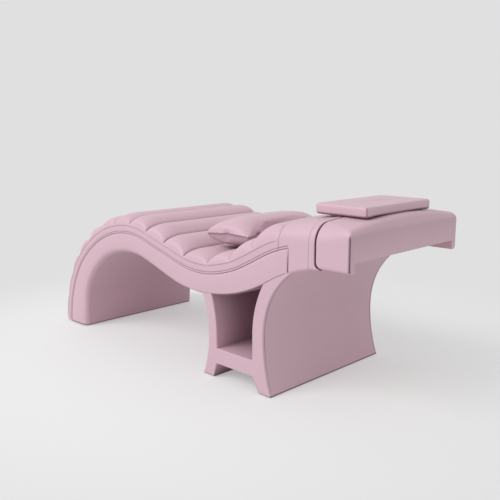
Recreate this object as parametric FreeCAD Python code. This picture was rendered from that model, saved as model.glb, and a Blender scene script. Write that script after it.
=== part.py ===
"""Curved treatment bed on a waisted pedestal with a towel niche, in millimetres.

X runs along the bed towards the head, Y runs across it and Z is up. The lines of the bed are drawn
from the crest of the leg rest (X = 0) and the whole bed is then moved so that the origin lies on the
floor below the middle of its box.
"""
import FreeCAD, Part
import math
import os

V = FreeCAD.Vector

# Overall sizes
WIDTH = 700.0
GLIDE_HEIGHT = 5.0
FIT = 0.3

# Deck line seen from the side, as tangent runs and arcs each way from the crest
CREST_HEIGHT = 531.0
CREST_RADIUS = 400.0
CREST_TURN = 16.0
SHIN_RADIUS = 580.0
FOOT_LEAN = 84.7
CALF_FALL = 16.2
CALF_RUN = 269.0
SEAT_RADIUS = 470.0
BACK_RISE = 30.5
BACK_RUN = 62.0
NECK_RADIUS = 640.0
LEVEL_RUN = 420.0

# Underside line, which shares its slopes with the deck line
FRAME_DEPTH = 98.6
UNDER_CREST_RADIUS = 405.0
UNDER_CREST_TURN = 55.0
UNDER_FOOT_RADIUS = 294.0
UNDER_CALF_RUN = 183.5
UNDER_SEAT_RADIUS = 744.0
UNDER_NECK_RADIUS = 644.0
RUN_OUT = 40.0

# Places along the bed, measured from the crest
SEAT_QUILT_START = 386.0
QUILT_END = 921.5
FASCIA_END = 968.5
SHOULDER_END = 1084.5

# Frame boards
FASCIA_THICK = 30.0
FASCIA_BEVEL = 13.0
EDGE_SEARCH = 1.0
RIB_THICK = 18.0
DECK_THICK = 8.0
BELLY_THICK = 8.0
SOLE_THICK = 18.0
SLAT_THICK = 24.0
SLAT_PLACES = (-300.0, 0.0, 260.0)
END_BOARD_THICK = 12.0

# Quilted mattress
BAND_HEIGHT = 28.5
BAND_THICK = 12.0
HEM = 8.0
LEG_CHANNELS = 10
SEAT_CHANNELS = 4
SEAM_HEIGHT = 31.0
SEAM_HEIGHT_HEAD = 52.0
PUFF_RISE = 20.0
PUFF_END_ROUND = 52.0
PUFF_END_STEPS = 4
PUFF_END_LEAST = 0.16

# Plain shoulder and head
HEAD_FOAM = 86.0
SHOULDER_RISE = 20.0
SHOULDER_RADIUS = 70.0
TOP_CROWN = 12.0
SEAM_DIP = 8.0
SEAM_RUN = 14.0
SOFT_EDGE = 12.0
GROOVE = 8.0
HEAD_LENGTH = 138.0
HEAD_BOX_DEPTH = 49.0
HEAD_BOARD_THICK = 15.0
HEAD_DECK_THICK = 12.0
HEAD_RAIL_WIDTH = 20.0
LIP_DROP = 84.0
LIP_ROUND = 14.0
END_PANEL_THICK = 20.0

# Steel arms that carry the head from the neck rail
ARM_LENGTH = 160.0
ARM_WIDTH = 50.0
ARM_THICK = 8.0
ARM_PLACE = 180.0
NECK_RAIL_WIDTH = 42.0
BOLT_DIAMETER = 8.0
BOLT_HEAD_WIDTH = 13.0
HEX_SIDES = 6
BOLT_HEAD_HEIGHT = 5.0
BOLT_GRIP = 12.0
BOLT_INSET = 14.0
HOLE_CLEARANCE = 0.2

# Pedestal
PEDESTAL_INSET = 1.5
FOOT_WAIST = 550.5
FOOT_WAIST_DROP = 163.0
FOOT_FLARE_RADIUS = 450.0
FOOT_PANEL_THICK = 48.0
FOOT_TOE = 61.0
HEAD_WAIST = 845.5
HEAD_WAIST_DROP = 198.0
HEAD_FLARE_RADIUS = 350.0
HEAD_TOE_RADIUS = 640.0
HEAD_PANEL_THICK = 52.0
HEAD_TOE = 57.0
FLARE_SWEEP = 80.0
SHELF_BOTTOM = 60.0
SHELF_TOP = 124.0
DIVIDER_THICK = 18.0
STUD_DIAMETER = 10.0
STUD_DEPTH = 40.0
STUD_PLACE = 200.0
STUD_WINDOW = 24.0
FOOT_STUD_FROM_WAIST = -6.0
HEAD_STUD_FROM_WAIST = 50.0

# Nail-on glides
GLIDE_DIAMETER = 36.0
GLIDE_PLACE = 290.0

# Loose head pad and lumbar pillow
PAD_LENGTH = 236.0
PAD_WIDTH = 424.0
PAD_THICK = 37.0
PAD_OVERHANG = 34.0
PAD_PINCH = 5.0
PAD_CROWN = 4.0
PILLOW_PLACE = 540.0
PILLOW_ASIDE = 20.0
PILLOW_DEPTH = 237.0
PILLOW_LENGTH = 512.0
PILLOW_THICK = 124.0
PILLOW_TILT = 0.6
PILLOW_SEAM = 6.0
PILLOW_DRAW_IN = 0.08
PILLOW_SHARES = (0.0, 0.45, 0.75, 0.95)
PILLOW_FACETS = 6
SETTLE_STEPS = 24
SETTLED = 0.01

HALF = WIDTH / 2
INNER = HALF - FASCIA_THICK
FAR = 4000.0


class Course:
    """A line of tangent runs and arcs in the XZ plane, read by the length along it."""

    def __init__(self, start, heading, moves):
        self.pieces = []
        self.length = 0.0
        x, z = start
        for length, turn in moves:
            bend = turn / length
            self.pieces.append((self.length, length, x, z, heading, bend))
            end = self.along(self.pieces[-1], length, 0.0)
            x, z = end.x, end.z
            heading += turn
            self.length += length

    @staticmethod
    def along(piece, run, off):
        _, _, x, z, heading, bend = piece
        angle = heading + bend * run
        if bend:
            x += (math.sin(angle) - math.sin(heading)) / bend
            z -= (math.cos(angle) - math.cos(heading)) / bend
        else:
            x += run * math.cos(heading)
            z += run * math.sin(heading)
        return V(x - off * math.sin(angle), 0, z + off * math.cos(angle))

    def point(self, at, off=0.0):
        piece = [p for p in self.pieces if p[0] <= at or p is self.pieces[0]][-1]
        return self.along(piece, at - piece[0], off)

    def reach(self, x, off=0.0):
        """Length along the line at which the point off it has this X."""
        low, high = 0.0, self.length
        for _ in range(60):
            middle = (low + high) / 2
            if self.point(middle, off).x < x:
                low = middle
            else:
                high = middle
        return low

    def edges(self, off, start=0.0, end=None):
        end = self.length if end is None else end
        found = []
        for piece in self.pieces:
            first = max(start - piece[0], 0.0)
            last = min(end - piece[0], piece[1])
            if last - first < 1e-6:
                continue
            a, b = self.along(piece, first, off), self.along(piece, last, off)
            if piece[5]:
                found.append(Part.Arc(a, self.along(piece, (first + last) / 2, off), b).toShape())
            else:
                found.append(Part.makeLine(a, b))
        return found


def bed_line(height, crest, crest_turn, foot, calf_run, seat, back_run, neck):
    """Course from below the floor at the foot, over the crest and the seat, to the level head."""
    turn, lean = math.radians(crest_turn), math.radians(FOOT_LEAN)
    fall, rise = math.radians(CALF_FALL), math.radians(BACK_RISE)
    x = -crest * math.sin(turn) - foot * (math.sin(lean) - math.sin(turn))
    z = height - crest * (1 - math.cos(turn)) - foot * (math.cos(turn) - math.cos(lean))
    foot_run = (z + RUN_OUT) / math.sin(lean)
    moves = [(foot_run, 0.0), ((lean - turn) * foot, turn - lean), ((turn + fall) * crest, -turn - fall),
             (calf_run, 0.0), ((fall + rise) * seat, fall + rise)]
    if back_run:
        moves.append((back_run, 0.0))
    moves += [(rise * neck, -rise), (LEVEL_RUN, 0.0)]
    return Course((x - foot_run * math.cos(lean), -RUN_OUT), lean, moves)


DECK = bed_line(CREST_HEIGHT, CREST_RADIUS, CREST_TURN, SHIN_RADIUS, CALF_RUN, SEAT_RADIUS, BACK_RUN,
                NECK_RADIUS)
UNDER = bed_line(CREST_HEIGHT - FRAME_DEPTH, UNDER_CREST_RADIUS, UNDER_CREST_TURN, UNDER_FOOT_RADIUS,
                 UNDER_CALF_RUN, UNDER_SEAT_RADIUS, 0.0, UNDER_NECK_RADIUS)
HEAD_DECK = DECK.point(DECK.length).z
HEAD_TOP = HEAD_DECK + HEAD_FOAM
HEAD_START = SHOULDER_END + GROOVE
HEAD_END = HEAD_START + HEAD_LENGTH
WRAP_END = HEAD_END - END_PANEL_THICK
HEAD_FLOOR = HEAD_DECK - HEAD_BOX_DEPTH


def box(x0, x1, y0, y1, z0, z1):
    return Part.makeBox(x1 - x0, y1 - y0, z1 - z0, V(x0, y0, z0))


def mirrored(shape):
    return shape.mirror(V(0, 0, 0), V(0, 1, 0))


def prism(edges, y0, y1):
    """Solid of the closed XZ outline, from y0 to y1."""
    face = Part.Face(Part.Wire(Part.__sortEdges__(edges)))
    solid = face.extrude(V(0, y1 - y0, 0))
    solid.translate(V(0, y0, 0))
    return solid


def between(lower, low_off, upper, high_off, y0, y1):
    edges = lower.edges(low_off) + upper.edges(high_off)
    edges.append(Part.makeLine(lower.point(0, low_off), upper.point(0, high_off)))
    edges.append(Part.makeLine(lower.point(lower.length, low_off), upper.point(upper.length, high_off)))
    return prism(edges, y0, y1)


def below(course, off, y0, y1):
    """Everything under the line, down to its lower end."""
    start, end = course.point(0, off), course.point(course.length, off)
    corner = V(end.x, 0, start.z)
    edges = course.edges(off) + [Part.makeLine(end, corner), Part.makeLine(corner, start)]
    return prism(edges, y0, y1)


def trim(solid, x0=-FAR, x1=FAR, z0=GLIDE_HEIGHT):
    return solid.common(box(x0, x1, -FAR, FAR, z0, FAR))


def frame_space(y0, y1):
    """Room between the belly panel and the deck."""
    return between(UNDER, BELLY_THICK + FIT, DECK, -DECK_THICK - FIT, y0, y1)


def rib(y0):
    solid = frame_space(y0, y0 + RIB_THICK)
    return trim(solid, x1=SHOULDER_END - END_BOARD_THICK - FIT, z0=GLIDE_HEIGHT + SOLE_THICK)


def side_rib():
    return rib(INNER - FIT - RIB_THICK)


def centre_rib():
    return rib(-RIB_THICK / 2)


def sole_board():
    board = trim(frame_space(FIT - INNER, INNER - FIT), x1=0.0)
    return board.common(box(-FAR, 0, -FAR, FAR, GLIDE_HEIGHT, GLIDE_HEIGHT + SOLE_THICK))


def slat_bays():
    """Y limits of the two bays between the centre rib and the side ribs."""
    inner = RIB_THICK / 2 + FIT
    outer = INNER - RIB_THICK - 2 * FIT
    return (-outer, -inner), (inner, outer)


def cross_slats():
    places = SLAT_PLACES + (foot_stud_x(), head_stud_x())
    solids = []
    for y0, y1 in slat_bays():
        space = frame_space(y0, y1)
        for x in places:
            slat = trim(space, x - SLAT_THICK / 2, x + SLAT_THICK / 2, GLIDE_HEIGHT + SOLE_THICK)
            solids.append(slat.cut(stud_holes()))
    return Part.makeCompound(solids)


def neck_rail():
    """Rail at the head end of the frame, whose top carries the arms level with the head's board."""
    x1 = SHOULDER_END - END_BOARD_THICK - FIT
    top = HEAD_FLOOR + HEAD_BOARD_THICK
    solids = []
    for y0, y1 in slat_bays():
        rail = trim(frame_space(y0, y1), x1 - NECK_RAIL_WIDTH, x1)
        rail = rail.common(box(-FAR, FAR, -FAR, FAR, 0, top))
        solids.append(rail.cut(bolt_holes()))
    return Part.makeCompound(solids)


def neck_end_board():
    board = trim(frame_space(FIT - INNER, INNER - FIT), SHOULDER_END - END_BOARD_THICK, SHOULDER_END)
    return board.cut(arms(FIT))


def deck_panel():
    return trim(between(DECK, -DECK_THICK, DECK, 0, FIT - INNER, INNER - FIT), x1=SHOULDER_END)


def belly_panel():
    panel = trim(between(UNDER, 0, UNDER, BELLY_THICK, FIT - INNER, INNER - FIT), x1=SHOULDER_END)
    half = STUD_WINDOW / 2
    for x, y, z in stud_places():
        panel = panel.cut(box(x - half, x + half, y - half, y + half, z - STUD_DEPTH, z + STUD_DEPTH))
    return panel


def side_skin(top_off, x0, x1):
    """Padded side panel of the frame with its lower outer edge eased."""
    skin = trim(between(UNDER, 0, DECK, top_off, INNER, HALF), x0, x1)
    lower = []
    for edge in skin.Edges:
        middle = edge.valueAt((edge.FirstParameter + edge.LastParameter) / 2)
        place = UNDER.reach(middle.x)
        on_line = UNDER.point(place).distanceToPoint(V(middle.x, 0, middle.z)) < EDGE_SEARCH
        if on_line and edge.BoundBox.YMin > HALF - EDGE_SEARCH and edge.Length > FASCIA_BEVEL:
            lower.append(edge)
    return skin.makeChamfer(FASCIA_BEVEL, lower)


def fascia():
    return side_skin(0.0, -FAR, FASCIA_END)


def border_band():
    return trim(between(DECK, FIT, DECK, BAND_HEIGHT, HALF - BAND_THICK, HALF), x1=QUILT_END - FIT)


def foam_core():
    width = HALF - BAND_THICK - FIT
    return trim(between(DECK, FIT, DECK, BAND_HEIGHT, -width, width), x1=QUILT_END - FIT)


def seam_places():
    """Lengths along the deck line of the sewn seams, but for the last one at the shoulder."""
    first = (RUN_OUT + GLIDE_HEIGHT + HEM) / math.sin(math.radians(FOOT_LEAN))
    seat = DECK.reach(SEAT_QUILT_START)
    last = DECK.reach(QUILT_END)
    leg = [first + (seat - first) * i / LEG_CHANNELS for i in range(LEG_CHANNELS)]
    return leg + [seat + (last - seat) * i / SEAT_CHANNELS for i in range(SEAT_CHANNELS)], seat, last


def quilt_section(y, fullness):
    """Closed outline of the quilted top at one Y: the foam's line below and sewn puffs above."""
    base = BAND_HEIGHT + FIT
    places, seat, last = seam_places()
    ends = places + [last]
    tops = []
    for place in places:
        growth = max(0.0, (place - seat) / (last - seat))
        height = SEAM_HEIGHT + (SEAM_HEIGHT_HEAD - SEAM_HEIGHT) * growth
        tops.append(DECK.point(place, base + height * fullness))
    end_x = QUILT_END - FIT
    end_height = base + SEAM_HEIGHT_HEAD * fullness
    tops.append(DECK.point(DECK.reach(end_x, end_height), end_height))
    edges = []
    for i, (a, b) in enumerate(zip(tops, tops[1:])):
        chord = b - a
        up = V(-chord.z, 0, chord.x).normalize()
        straight = (DECK.point(ends[i]) + DECK.point(ends[i + 1])) * 0.5
        hollow = straight - DECK.point((ends[i] + ends[i + 1]) / 2)
        rise = (PUFF_RISE - hollow.dot(up)) * fullness
        edges.append(Part.Arc(a, (a + b) * 0.5 + up * rise, b).toShape())
    bottom_end = DECK.reach(end_x, base)
    edges.append(Part.makeLine(tops[-1], DECK.point(bottom_end, base)))
    edges += DECK.edges(base, places[0], bottom_end)
    edges.append(Part.makeLine(DECK.point(places[0], base), tops[0]))
    wire = Part.Wire(Part.__sortEdges__(edges))
    wire.translate(V(0, y, 0))
    return wire


def quilted_top():
    """Loft across the bed whose puffs round down to the band at both sides."""
    steps = []
    for i in range(PUFF_END_STEPS):
        angle = math.pi / 2 * i / (PUFF_END_STEPS - 1)
        fullness = PUFF_END_LEAST + (1 - PUFF_END_LEAST) * math.sin(angle)
        steps.append((HALF - PUFF_END_ROUND * (1 - math.cos(angle)), fullness))
    sections = [quilt_section(-y, f) for y, f in steps]
    sections += [quilt_section(y, f) for y, f in reversed(steps)]
    return Part.makeLoft(sections, True, True)


def hood_section(x, top, inset, base, foot_round):
    """Closed YZ outline with a crowned top, rounded shoulders and rounded lower corners."""
    y = HALF - inset
    flat = y - SHOULDER_RADIUS
    spring = top - TOP_CROWN - SHOULDER_RADIUS
    slant = SHOULDER_RADIUS * math.sqrt(0.5)
    low = foot_round * (1 - math.sqrt(0.5))

    def p(py, pz):
        return V(x, py, pz)

    def corner(side):
        return Part.Arc(p(side * y, spring), p(side * (flat + slant), spring + slant),
                        p(side * flat, top - TOP_CROWN)).toShape()

    def heel(side):
        return Part.Arc(p(side * y, base + foot_round), p(side * (y - low), base + low),
                        p(side * (y - foot_round), base)).toShape()

    edges = [corner(-1), corner(1), heel(-1), heel(1)]
    edges.append(Part.Arc(p(-flat, top - TOP_CROWN), p(0, top), p(flat, top - TOP_CROWN)).toShape())
    edges.append(Part.makeLine(p(foot_round - y, base), p(y - foot_round, base)))
    for side in (-1, 1):
        edges.append(Part.makeLine(p(side * y, base + foot_round), p(side * y, spring)))
    return Part.Wire(Part.__sortEdges__(edges))


def hood(stations, base):
    """Loft of such outlines, given as X, how far the top is lowered, and the same inset at the sides."""
    return Part.makeLoft([hood_section(x, top, inset, base, LIP_ROUND) for x, top, inset in stations],
                         True, True)


def soft_end(x, way, top, depth):
    """Stations that round an end off over SOFT_EDGE, from the full outline to the end face."""
    middle = depth * (1 - math.sqrt(0.5))
    run = SOFT_EDGE * (1 - math.sqrt(0.5))
    return [(x - way * SOFT_EDGE, top, 0.0), (x - way * run, top - middle, middle), (x, top - depth, depth)]


def shoulder_wrap():
    start = QUILT_END
    stations = [(start, HEAD_TOP - SHOULDER_RISE - SEAM_DIP, 0.0),
                (start + SEAM_RUN, HEAD_TOP - SHOULDER_RISE, 0.0)]
    stations += soft_end(SHOULDER_END, 1, HEAD_TOP, SOFT_EDGE / 2)
    block = hood(stations, HEAD_FLOOR - FRAME_DEPTH)
    block = block.cut(below(DECK, FIT, -FAR, FAR))
    side = side_skin(FIT, FASCIA_END + FIT, SHOULDER_END - SOFT_EDGE)
    return block.fuse([side, mirrored(side)]).removeSplitter()


def lip_room(x0, x1, top):
    """Space between the two side lips, up to a height."""
    return box(x0, x1, -INNER, INNER, 0, top)


def head_wrap():
    stations = list(reversed(soft_end(HEAD_START, -1, HEAD_TOP, SOFT_EDGE / 2)))
    stations.append((WRAP_END - FIT, HEAD_TOP, 0.0))
    block = hood(stations, HEAD_DECK - LIP_DROP)
    return block.cut(lip_room(HEAD_START - FIT, WRAP_END + FIT, HEAD_DECK + FIT))


def head_end_panel():
    stations = [(WRAP_END, HEAD_TOP, 0.0)] + soft_end(HEAD_END, 1, HEAD_TOP, SOFT_EDGE)
    panel = hood(stations, HEAD_DECK - LIP_DROP)
    return panel.cut(lip_room(WRAP_END - FIT, HEAD_END + FIT, HEAD_FLOOR))


def head_bottom_board():
    y = INNER - FIT
    return box(HEAD_START, WRAP_END - FIT, -y, y, HEAD_FLOOR, HEAD_FLOOR + HEAD_BOARD_THICK).cut(bolt_holes())


def head_deck_board():
    y = INNER - FIT
    return box(HEAD_START, WRAP_END - FIT, -y, y, HEAD_DECK - HEAD_DECK_THICK, HEAD_DECK)


def rail_heights():
    return HEAD_FLOOR + HEAD_BOARD_THICK, HEAD_DECK - HEAD_DECK_THICK


def head_side_rail():
    y = INNER - FIT
    low, high = rail_heights()
    return box(HEAD_START, WRAP_END - FIT, y - HEAD_RAIL_WIDTH, y, low, high)


def head_end_rail():
    y = INNER - FIT - HEAD_RAIL_WIDTH
    low, high = rail_heights()
    x1 = WRAP_END - FIT
    return box(x1 - HEAD_RAIL_WIDTH, x1, -y, y, low, high)


def arm_limits():
    middle = SHOULDER_END + GROOVE / 2 - END_BOARD_THICK / 2
    return middle - ARM_LENGTH / 2, middle + ARM_LENGTH / 2


def arms(clearance=0.0):
    """Two flat bars across the groove, on the neck rail and the head's bottom board."""
    x0, x1 = arm_limits()
    z = HEAD_FLOOR + HEAD_BOARD_THICK
    half = ARM_WIDTH / 2 + clearance
    bars = []
    for side in (-1, 1):
        y = side * ARM_PLACE
        bars.append(box(x0, x1, y - half, y + half, z, z + ARM_THICK + clearance))
    return Part.makeCompound(bars)


def bolt_places():
    x0 = SHOULDER_END - END_BOARD_THICK - FIT - NECK_RAIL_WIDTH / 2
    x1 = arm_limits()[1] - BOLT_INSET
    return [(x, side * ARM_PLACE) for x in (x0, x1) for side in (-1, 1)]


def bolt_holes():
    z = HEAD_FLOOR + HEAD_BOARD_THICK + ARM_THICK
    radius = BOLT_DIAMETER / 2 + HOLE_CLEARANCE
    depth = ARM_THICK + BOLT_GRIP + HOLE_CLEARANCE
    return Part.makeCompound([Part.makeCylinder(radius, depth, V(x, y, z - depth)) for x, y in bolt_places()])


def head_arms():
    return arms().cut(bolt_holes())


def head_bolts():
    z = HEAD_FLOOR + HEAD_BOARD_THICK + ARM_THICK
    length = ARM_THICK + BOLT_GRIP
    hex_radius = BOLT_HEAD_WIDTH / 2 / math.cos(math.pi / HEX_SIDES)
    bolts = []
    for x, y in bolt_places():
        shank = Part.makeCylinder(BOLT_DIAMETER / 2, length, V(x, y, z - length))
        corners = []
        for i in range(HEX_SIDES + 1):
            angle = 2 * math.pi * i / HEX_SIDES
            corners.append(V(x + hex_radius * math.cos(angle), y + hex_radius * math.sin(angle), z))
        head = Part.Face(Part.makePolygon(corners)).extrude(V(0, 0, BOLT_HEAD_HEIGHT))
        bolts.append(shank.fuse(head))
    return Part.makeCompound(bolts)


class Flare:
    """Hourglass face of the pedestal: an arc above the waist and an arc below it."""

    def __init__(self, waist, drop, side, upper, lower, thick, toe):
        self.waist, self.side, self.thick, self.toe = waist, side, thick, toe
        self.upper, self.lower = upper, lower
        self.height = UNDER.point(UNDER.reach(waist)).z - drop

    def at(self, z, radius, inward=0.0):
        rise = z - self.height
        bow = radius - math.sqrt((radius + inward) ** 2 - rise ** 2)
        return V(self.waist + self.side * bow, 0, z)

    def panel(self, spare=0.0):
        """Curved panel before it is cut to the underside, with spare added to its inner face."""
        inward = self.thick + spare
        top = self.height + self.upper * math.sin(math.radians(FLARE_SWEEP))
        middle = (top + self.height) / 2
        low = (GLIDE_HEIGHT + self.height) / 2
        outer = [self.at(z, self.lower) for z in (GLIDE_HEIGHT, low, self.height)]
        flare = [self.at(z, self.upper) for z in (self.height, middle, top)]
        inner = [self.at(z, self.upper, inward) for z in (top, middle, self.height)]
        knee = V(inner[-1].x, 0, SHELF_BOTTOM)
        toe = outer[0] - V(self.side * (self.toe + spare), 0, 0)
        edges = [Part.Arc(*outer).toShape(), Part.Arc(*flare).toShape(), Part.Arc(*inner).toShape()]
        corners = [(flare[-1], inner[0]), (inner[-1], knee), (knee, toe), (toe, outer[0])]
        edges += [Part.makeLine(a, b) for a, b in corners]
        y = HALF - PEDESTAL_INSET
        return prism(edges, -y, y)

    def inner_x(self):
        return self.waist - self.side * self.thick


FOOT_FLARE = Flare(FOOT_WAIST, FOOT_WAIST_DROP, -1, FOOT_FLARE_RADIUS, FOOT_FLARE_RADIUS, FOOT_PANEL_THICK,
                   FOOT_TOE)
HEAD_FLARE = Flare(HEAD_WAIST, HEAD_WAIST_DROP, 1, HEAD_FLARE_RADIUS, HEAD_TOE_RADIUS, HEAD_PANEL_THICK,
                   HEAD_TOE)


def pedestal_panel(flare):
    return flare.panel().common(below(UNDER, -FIT, -FAR, FAR)).cut(stud_holes())


def foot_stud_x():
    return FOOT_WAIST + FOOT_PANEL_THICK / 2 + FOOT_STUD_FROM_WAIST


def head_stud_x():
    return HEAD_WAIST - HEAD_PANEL_THICK / 2 + HEAD_STUD_FROM_WAIST


def stud_places():
    places = []
    for x in (foot_stud_x(), head_stud_x()):
        z = UNDER.point(UNDER.reach(x)).z
        places += [(x, y, z) for y in (-STUD_PLACE, STUD_PLACE)]
    return places


def studs(radius, depth):
    height = 2 * depth + BELLY_THICK
    return Part.makeCompound([Part.makeCylinder(radius, height, V(x, y, z - depth)) for x, y, z in stud_places()])


def saddle_studs():
    return studs(STUD_DIAMETER / 2, STUD_DEPTH)


def stud_holes():
    return studs(STUD_DIAMETER / 2 + HOLE_CLEARANCE, STUD_DEPTH + HOLE_CLEARANCE)


def towel_shelf():
    y = HALF - PEDESTAL_INSET
    return box(FOOT_FLARE.inner_x(), HEAD_FLARE.inner_x(), -y, y, SHELF_BOTTOM, SHELF_TOP)


def niche_divider():
    y = DIVIDER_THICK / 2
    board = box(FOOT_WAIST, HEAD_WAIST, -y, y, SHELF_TOP, CREST_HEIGHT)
    board = board.common(below(UNDER, -FIT, -FAR, FAR))
    return board.cut(FOOT_FLARE.panel(FIT)).cut(HEAD_FLARE.panel(FIT))


def glides(places):
    discs = []
    for x in places:
        for y in (-GLIDE_PLACE, GLIDE_PLACE):
            discs.append(Part.makeCylinder(GLIDE_DIAMETER / 2, GLIDE_HEIGHT, V(x, y, 0)))
    return Part.makeCompound(discs)


def pedestal_glides():
    foot = FOOT_FLARE.at(GLIDE_HEIGHT, FOOT_FLARE_RADIUS).x + FOOT_TOE / 2
    head = HEAD_FLARE.at(GLIDE_HEIGHT, HEAD_TOE_RADIUS).x - HEAD_TOE / 2
    return glides((foot, head))


def foot_glides():
    board = sole_board().BoundBox
    return glides([(board.XMin + board.XMax) / 2])


def pad_section(x, height, pinch):
    """Closed YZ outline of the flat pad: level below, crowned above, sides drawn in towards the ends."""
    y = PAD_WIDTH / 2 - pinch
    low = HEAD_TOP + FIT
    high = low + height
    edges = [Part.makeLine(V(x, -y, low), V(x, y, low)), Part.makeLine(V(x, -y, low), V(x, -y, high)),
             Part.makeLine(V(x, y, low), V(x, y, high)),
             Part.Arc(V(x, -y, high), V(x, 0, high + PAD_CROWN), V(x, y, high)).toShape()]
    return Part.Wire(Part.__sortEdges__(edges))


def head_pad():
    end = HEAD_END - PAD_OVERHANG
    start = end - PAD_LENGTH
    edge = PAD_THICK - PAD_CROWN
    stations = [(start, edge - PAD_PINCH, 0.0), (start + SOFT_EDGE, edge, PAD_PINCH / 2),
                ((start + end) / 2, edge, PAD_PINCH), (end - SOFT_EDGE, edge, PAD_PINCH / 2),
                (end, edge - PAD_PINCH, 0.0)]
    return Part.makeLoft([pad_section(*station) for station in stations], True, True)


def pillow_section(share):
    """Closed XZ outline of the pillow: two bows that meet at its seam, at a share of its half length."""
    swell = math.sqrt(1 - share ** 2)
    half = PILLOW_DEPTH / 2 * (1 - PILLOW_DRAW_IN * swell ** 2)
    edge = PILLOW_SEAM / 2
    bow = (PILLOW_THICK / 2 - edge) * swell
    radius = (half ** 2 + bow ** 2) / (2 * bow)
    turn = math.asin(half / radius)
    y = PILLOW_LENGTH / 2 * share / PILLOW_SHARES[-1]
    points = []
    for side in (-1, 1):
        for i in range(PILLOW_FACETS + 1):
            angle = turn * (2 * i / PILLOW_FACETS - 1)
            height = edge + bow - radius * (1 - math.cos(angle))
            points.append(V(-side * radius * math.sin(angle), y, side * height))
    return Part.makePolygon(points + points[:1])


def lumbar_pillow(bed):
    """Pillow tilted with the seat and lowered until it lies FIT above the puffs."""
    shares = [-share for share in reversed(PILLOW_SHARES[1:])] + list(PILLOW_SHARES)
    pillow = Part.makeLoft([pillow_section(share) for share in shares], True, True)
    pillow.rotate(V(0, 0, 0), V(0, 1, 0), -PILLOW_TILT)
    deck = DECK.point(DECK.reach(PILLOW_PLACE)).z
    pillow.translate(V(PILLOW_PLACE, PILLOW_ASIDE, deck + BAND_HEIGHT + SEAM_HEIGHT_HEAD + PILLOW_THICK))
    for _ in range(SETTLE_STEPS):
        gap = pillow.distToShape(bed)[0] - FIT
        if gap < SETTLED:
            break
        pillow.translate(V(0, 0, -gap))
    return pillow


def build():
    quilt = quilted_top()
    near = {"side_rib": side_rib(), "fascia": fascia(), "border_band": border_band(),
            "head_side_rail": head_side_rail()}
    nodes = {"quilted_top": quilt, "centre_rib": centre_rib(), "sole_board": sole_board(),
             "cross_slats": cross_slats(), "neck_rail": neck_rail(), "neck_end_board": neck_end_board(),
             "deck_panel": deck_panel(), "belly_panel": belly_panel(), "foam_core": foam_core(),
             "shoulder_wrap": shoulder_wrap(), "head_wrap": head_wrap(), "head_end_panel": head_end_panel(),
             "head_bottom_board": head_bottom_board(), "head_deck_board": head_deck_board(),
             "head_end_rail": head_end_rail(), "head_arms": head_arms(), "head_bolts": head_bolts(),
             "pedestal_foot_panel": pedestal_panel(FOOT_FLARE),
             "pedestal_head_panel": pedestal_panel(HEAD_FLARE), "towel_shelf": towel_shelf(),
             "niche_divider": niche_divider(), "saddle_studs": saddle_studs(),
             "pedestal_glides": pedestal_glides(), "foot_glides": foot_glides(), "head_pad": head_pad(),
             "lumbar_pillow": lumbar_pillow(quilt)}
    for name, shape in near.items():
        nodes[name + "_far"] = shape
        nodes[name + "_near"] = mirrored(shape)
    return nodes


def main():
    os.makedirs("parts", exist_ok=True)
    nodes = build()
    foot_end = nodes["quilted_top"].optimalBoundingBox(False).XMin
    shift = V(-(foot_end + HEAD_END) / 2, 0, 0)
    for name, shape in nodes.items():
        shape.translate(shift)
        shape.exportStep("parts/" + name + ".step")
    print("crest lies at X", round(shift.x, 2))


main()
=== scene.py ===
"""Looks of the curved treatment bed, in metres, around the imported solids.

X runs along the bed towards the head, Y runs across it and Z is up. The lines of the bed are drawn from
the crest of the leg rest and moved to where the solids lie.
"""
import math

import bmesh
import bpy
import numpy as np
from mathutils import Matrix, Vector
from mathutils.bvhtree import BVHTree


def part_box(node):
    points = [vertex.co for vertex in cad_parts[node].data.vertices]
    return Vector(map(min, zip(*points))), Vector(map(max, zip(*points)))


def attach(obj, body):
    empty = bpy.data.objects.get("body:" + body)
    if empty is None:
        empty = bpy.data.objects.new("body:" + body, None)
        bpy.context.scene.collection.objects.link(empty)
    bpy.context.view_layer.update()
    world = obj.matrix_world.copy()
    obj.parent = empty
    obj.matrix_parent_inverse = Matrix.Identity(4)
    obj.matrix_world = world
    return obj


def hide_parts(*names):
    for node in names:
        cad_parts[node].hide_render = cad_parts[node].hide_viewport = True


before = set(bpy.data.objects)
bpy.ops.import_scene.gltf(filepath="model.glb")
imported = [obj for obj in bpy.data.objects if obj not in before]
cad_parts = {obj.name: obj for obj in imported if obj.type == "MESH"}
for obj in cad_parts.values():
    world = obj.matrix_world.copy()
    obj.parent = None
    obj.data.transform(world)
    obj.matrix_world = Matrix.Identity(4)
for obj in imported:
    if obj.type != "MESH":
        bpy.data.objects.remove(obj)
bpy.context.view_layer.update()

# Overall sizes
HALF = 0.350
FLOOR_GAP = 0.005
FIT = 0.0003

# Slopes that the deck line and the underside line share, as in the solids
FOOT_LEAN = math.radians(84.7)
CALF_FALL = math.radians(16.2)
BACK_RISE = math.radians(30.5)
LEVEL_RUN = 0.420
RUN_OUT = 0.040

# Places along the bed
HEAD_END_FROM_CREST = 1.2305
CREST_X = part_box("head_end_panel")[1].x - HEAD_END_FROM_CREST
QUILT_X = CREST_X + 0.9215
FASCIA_X = CREST_X + 0.9685
SHOULDER_X = CREST_X + 1.0861
HEAD_X = CREST_X + 1.0909
END_X = CREST_X + HEAD_END_FROM_CREST
WRAP_X = END_X - 0.020

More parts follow.
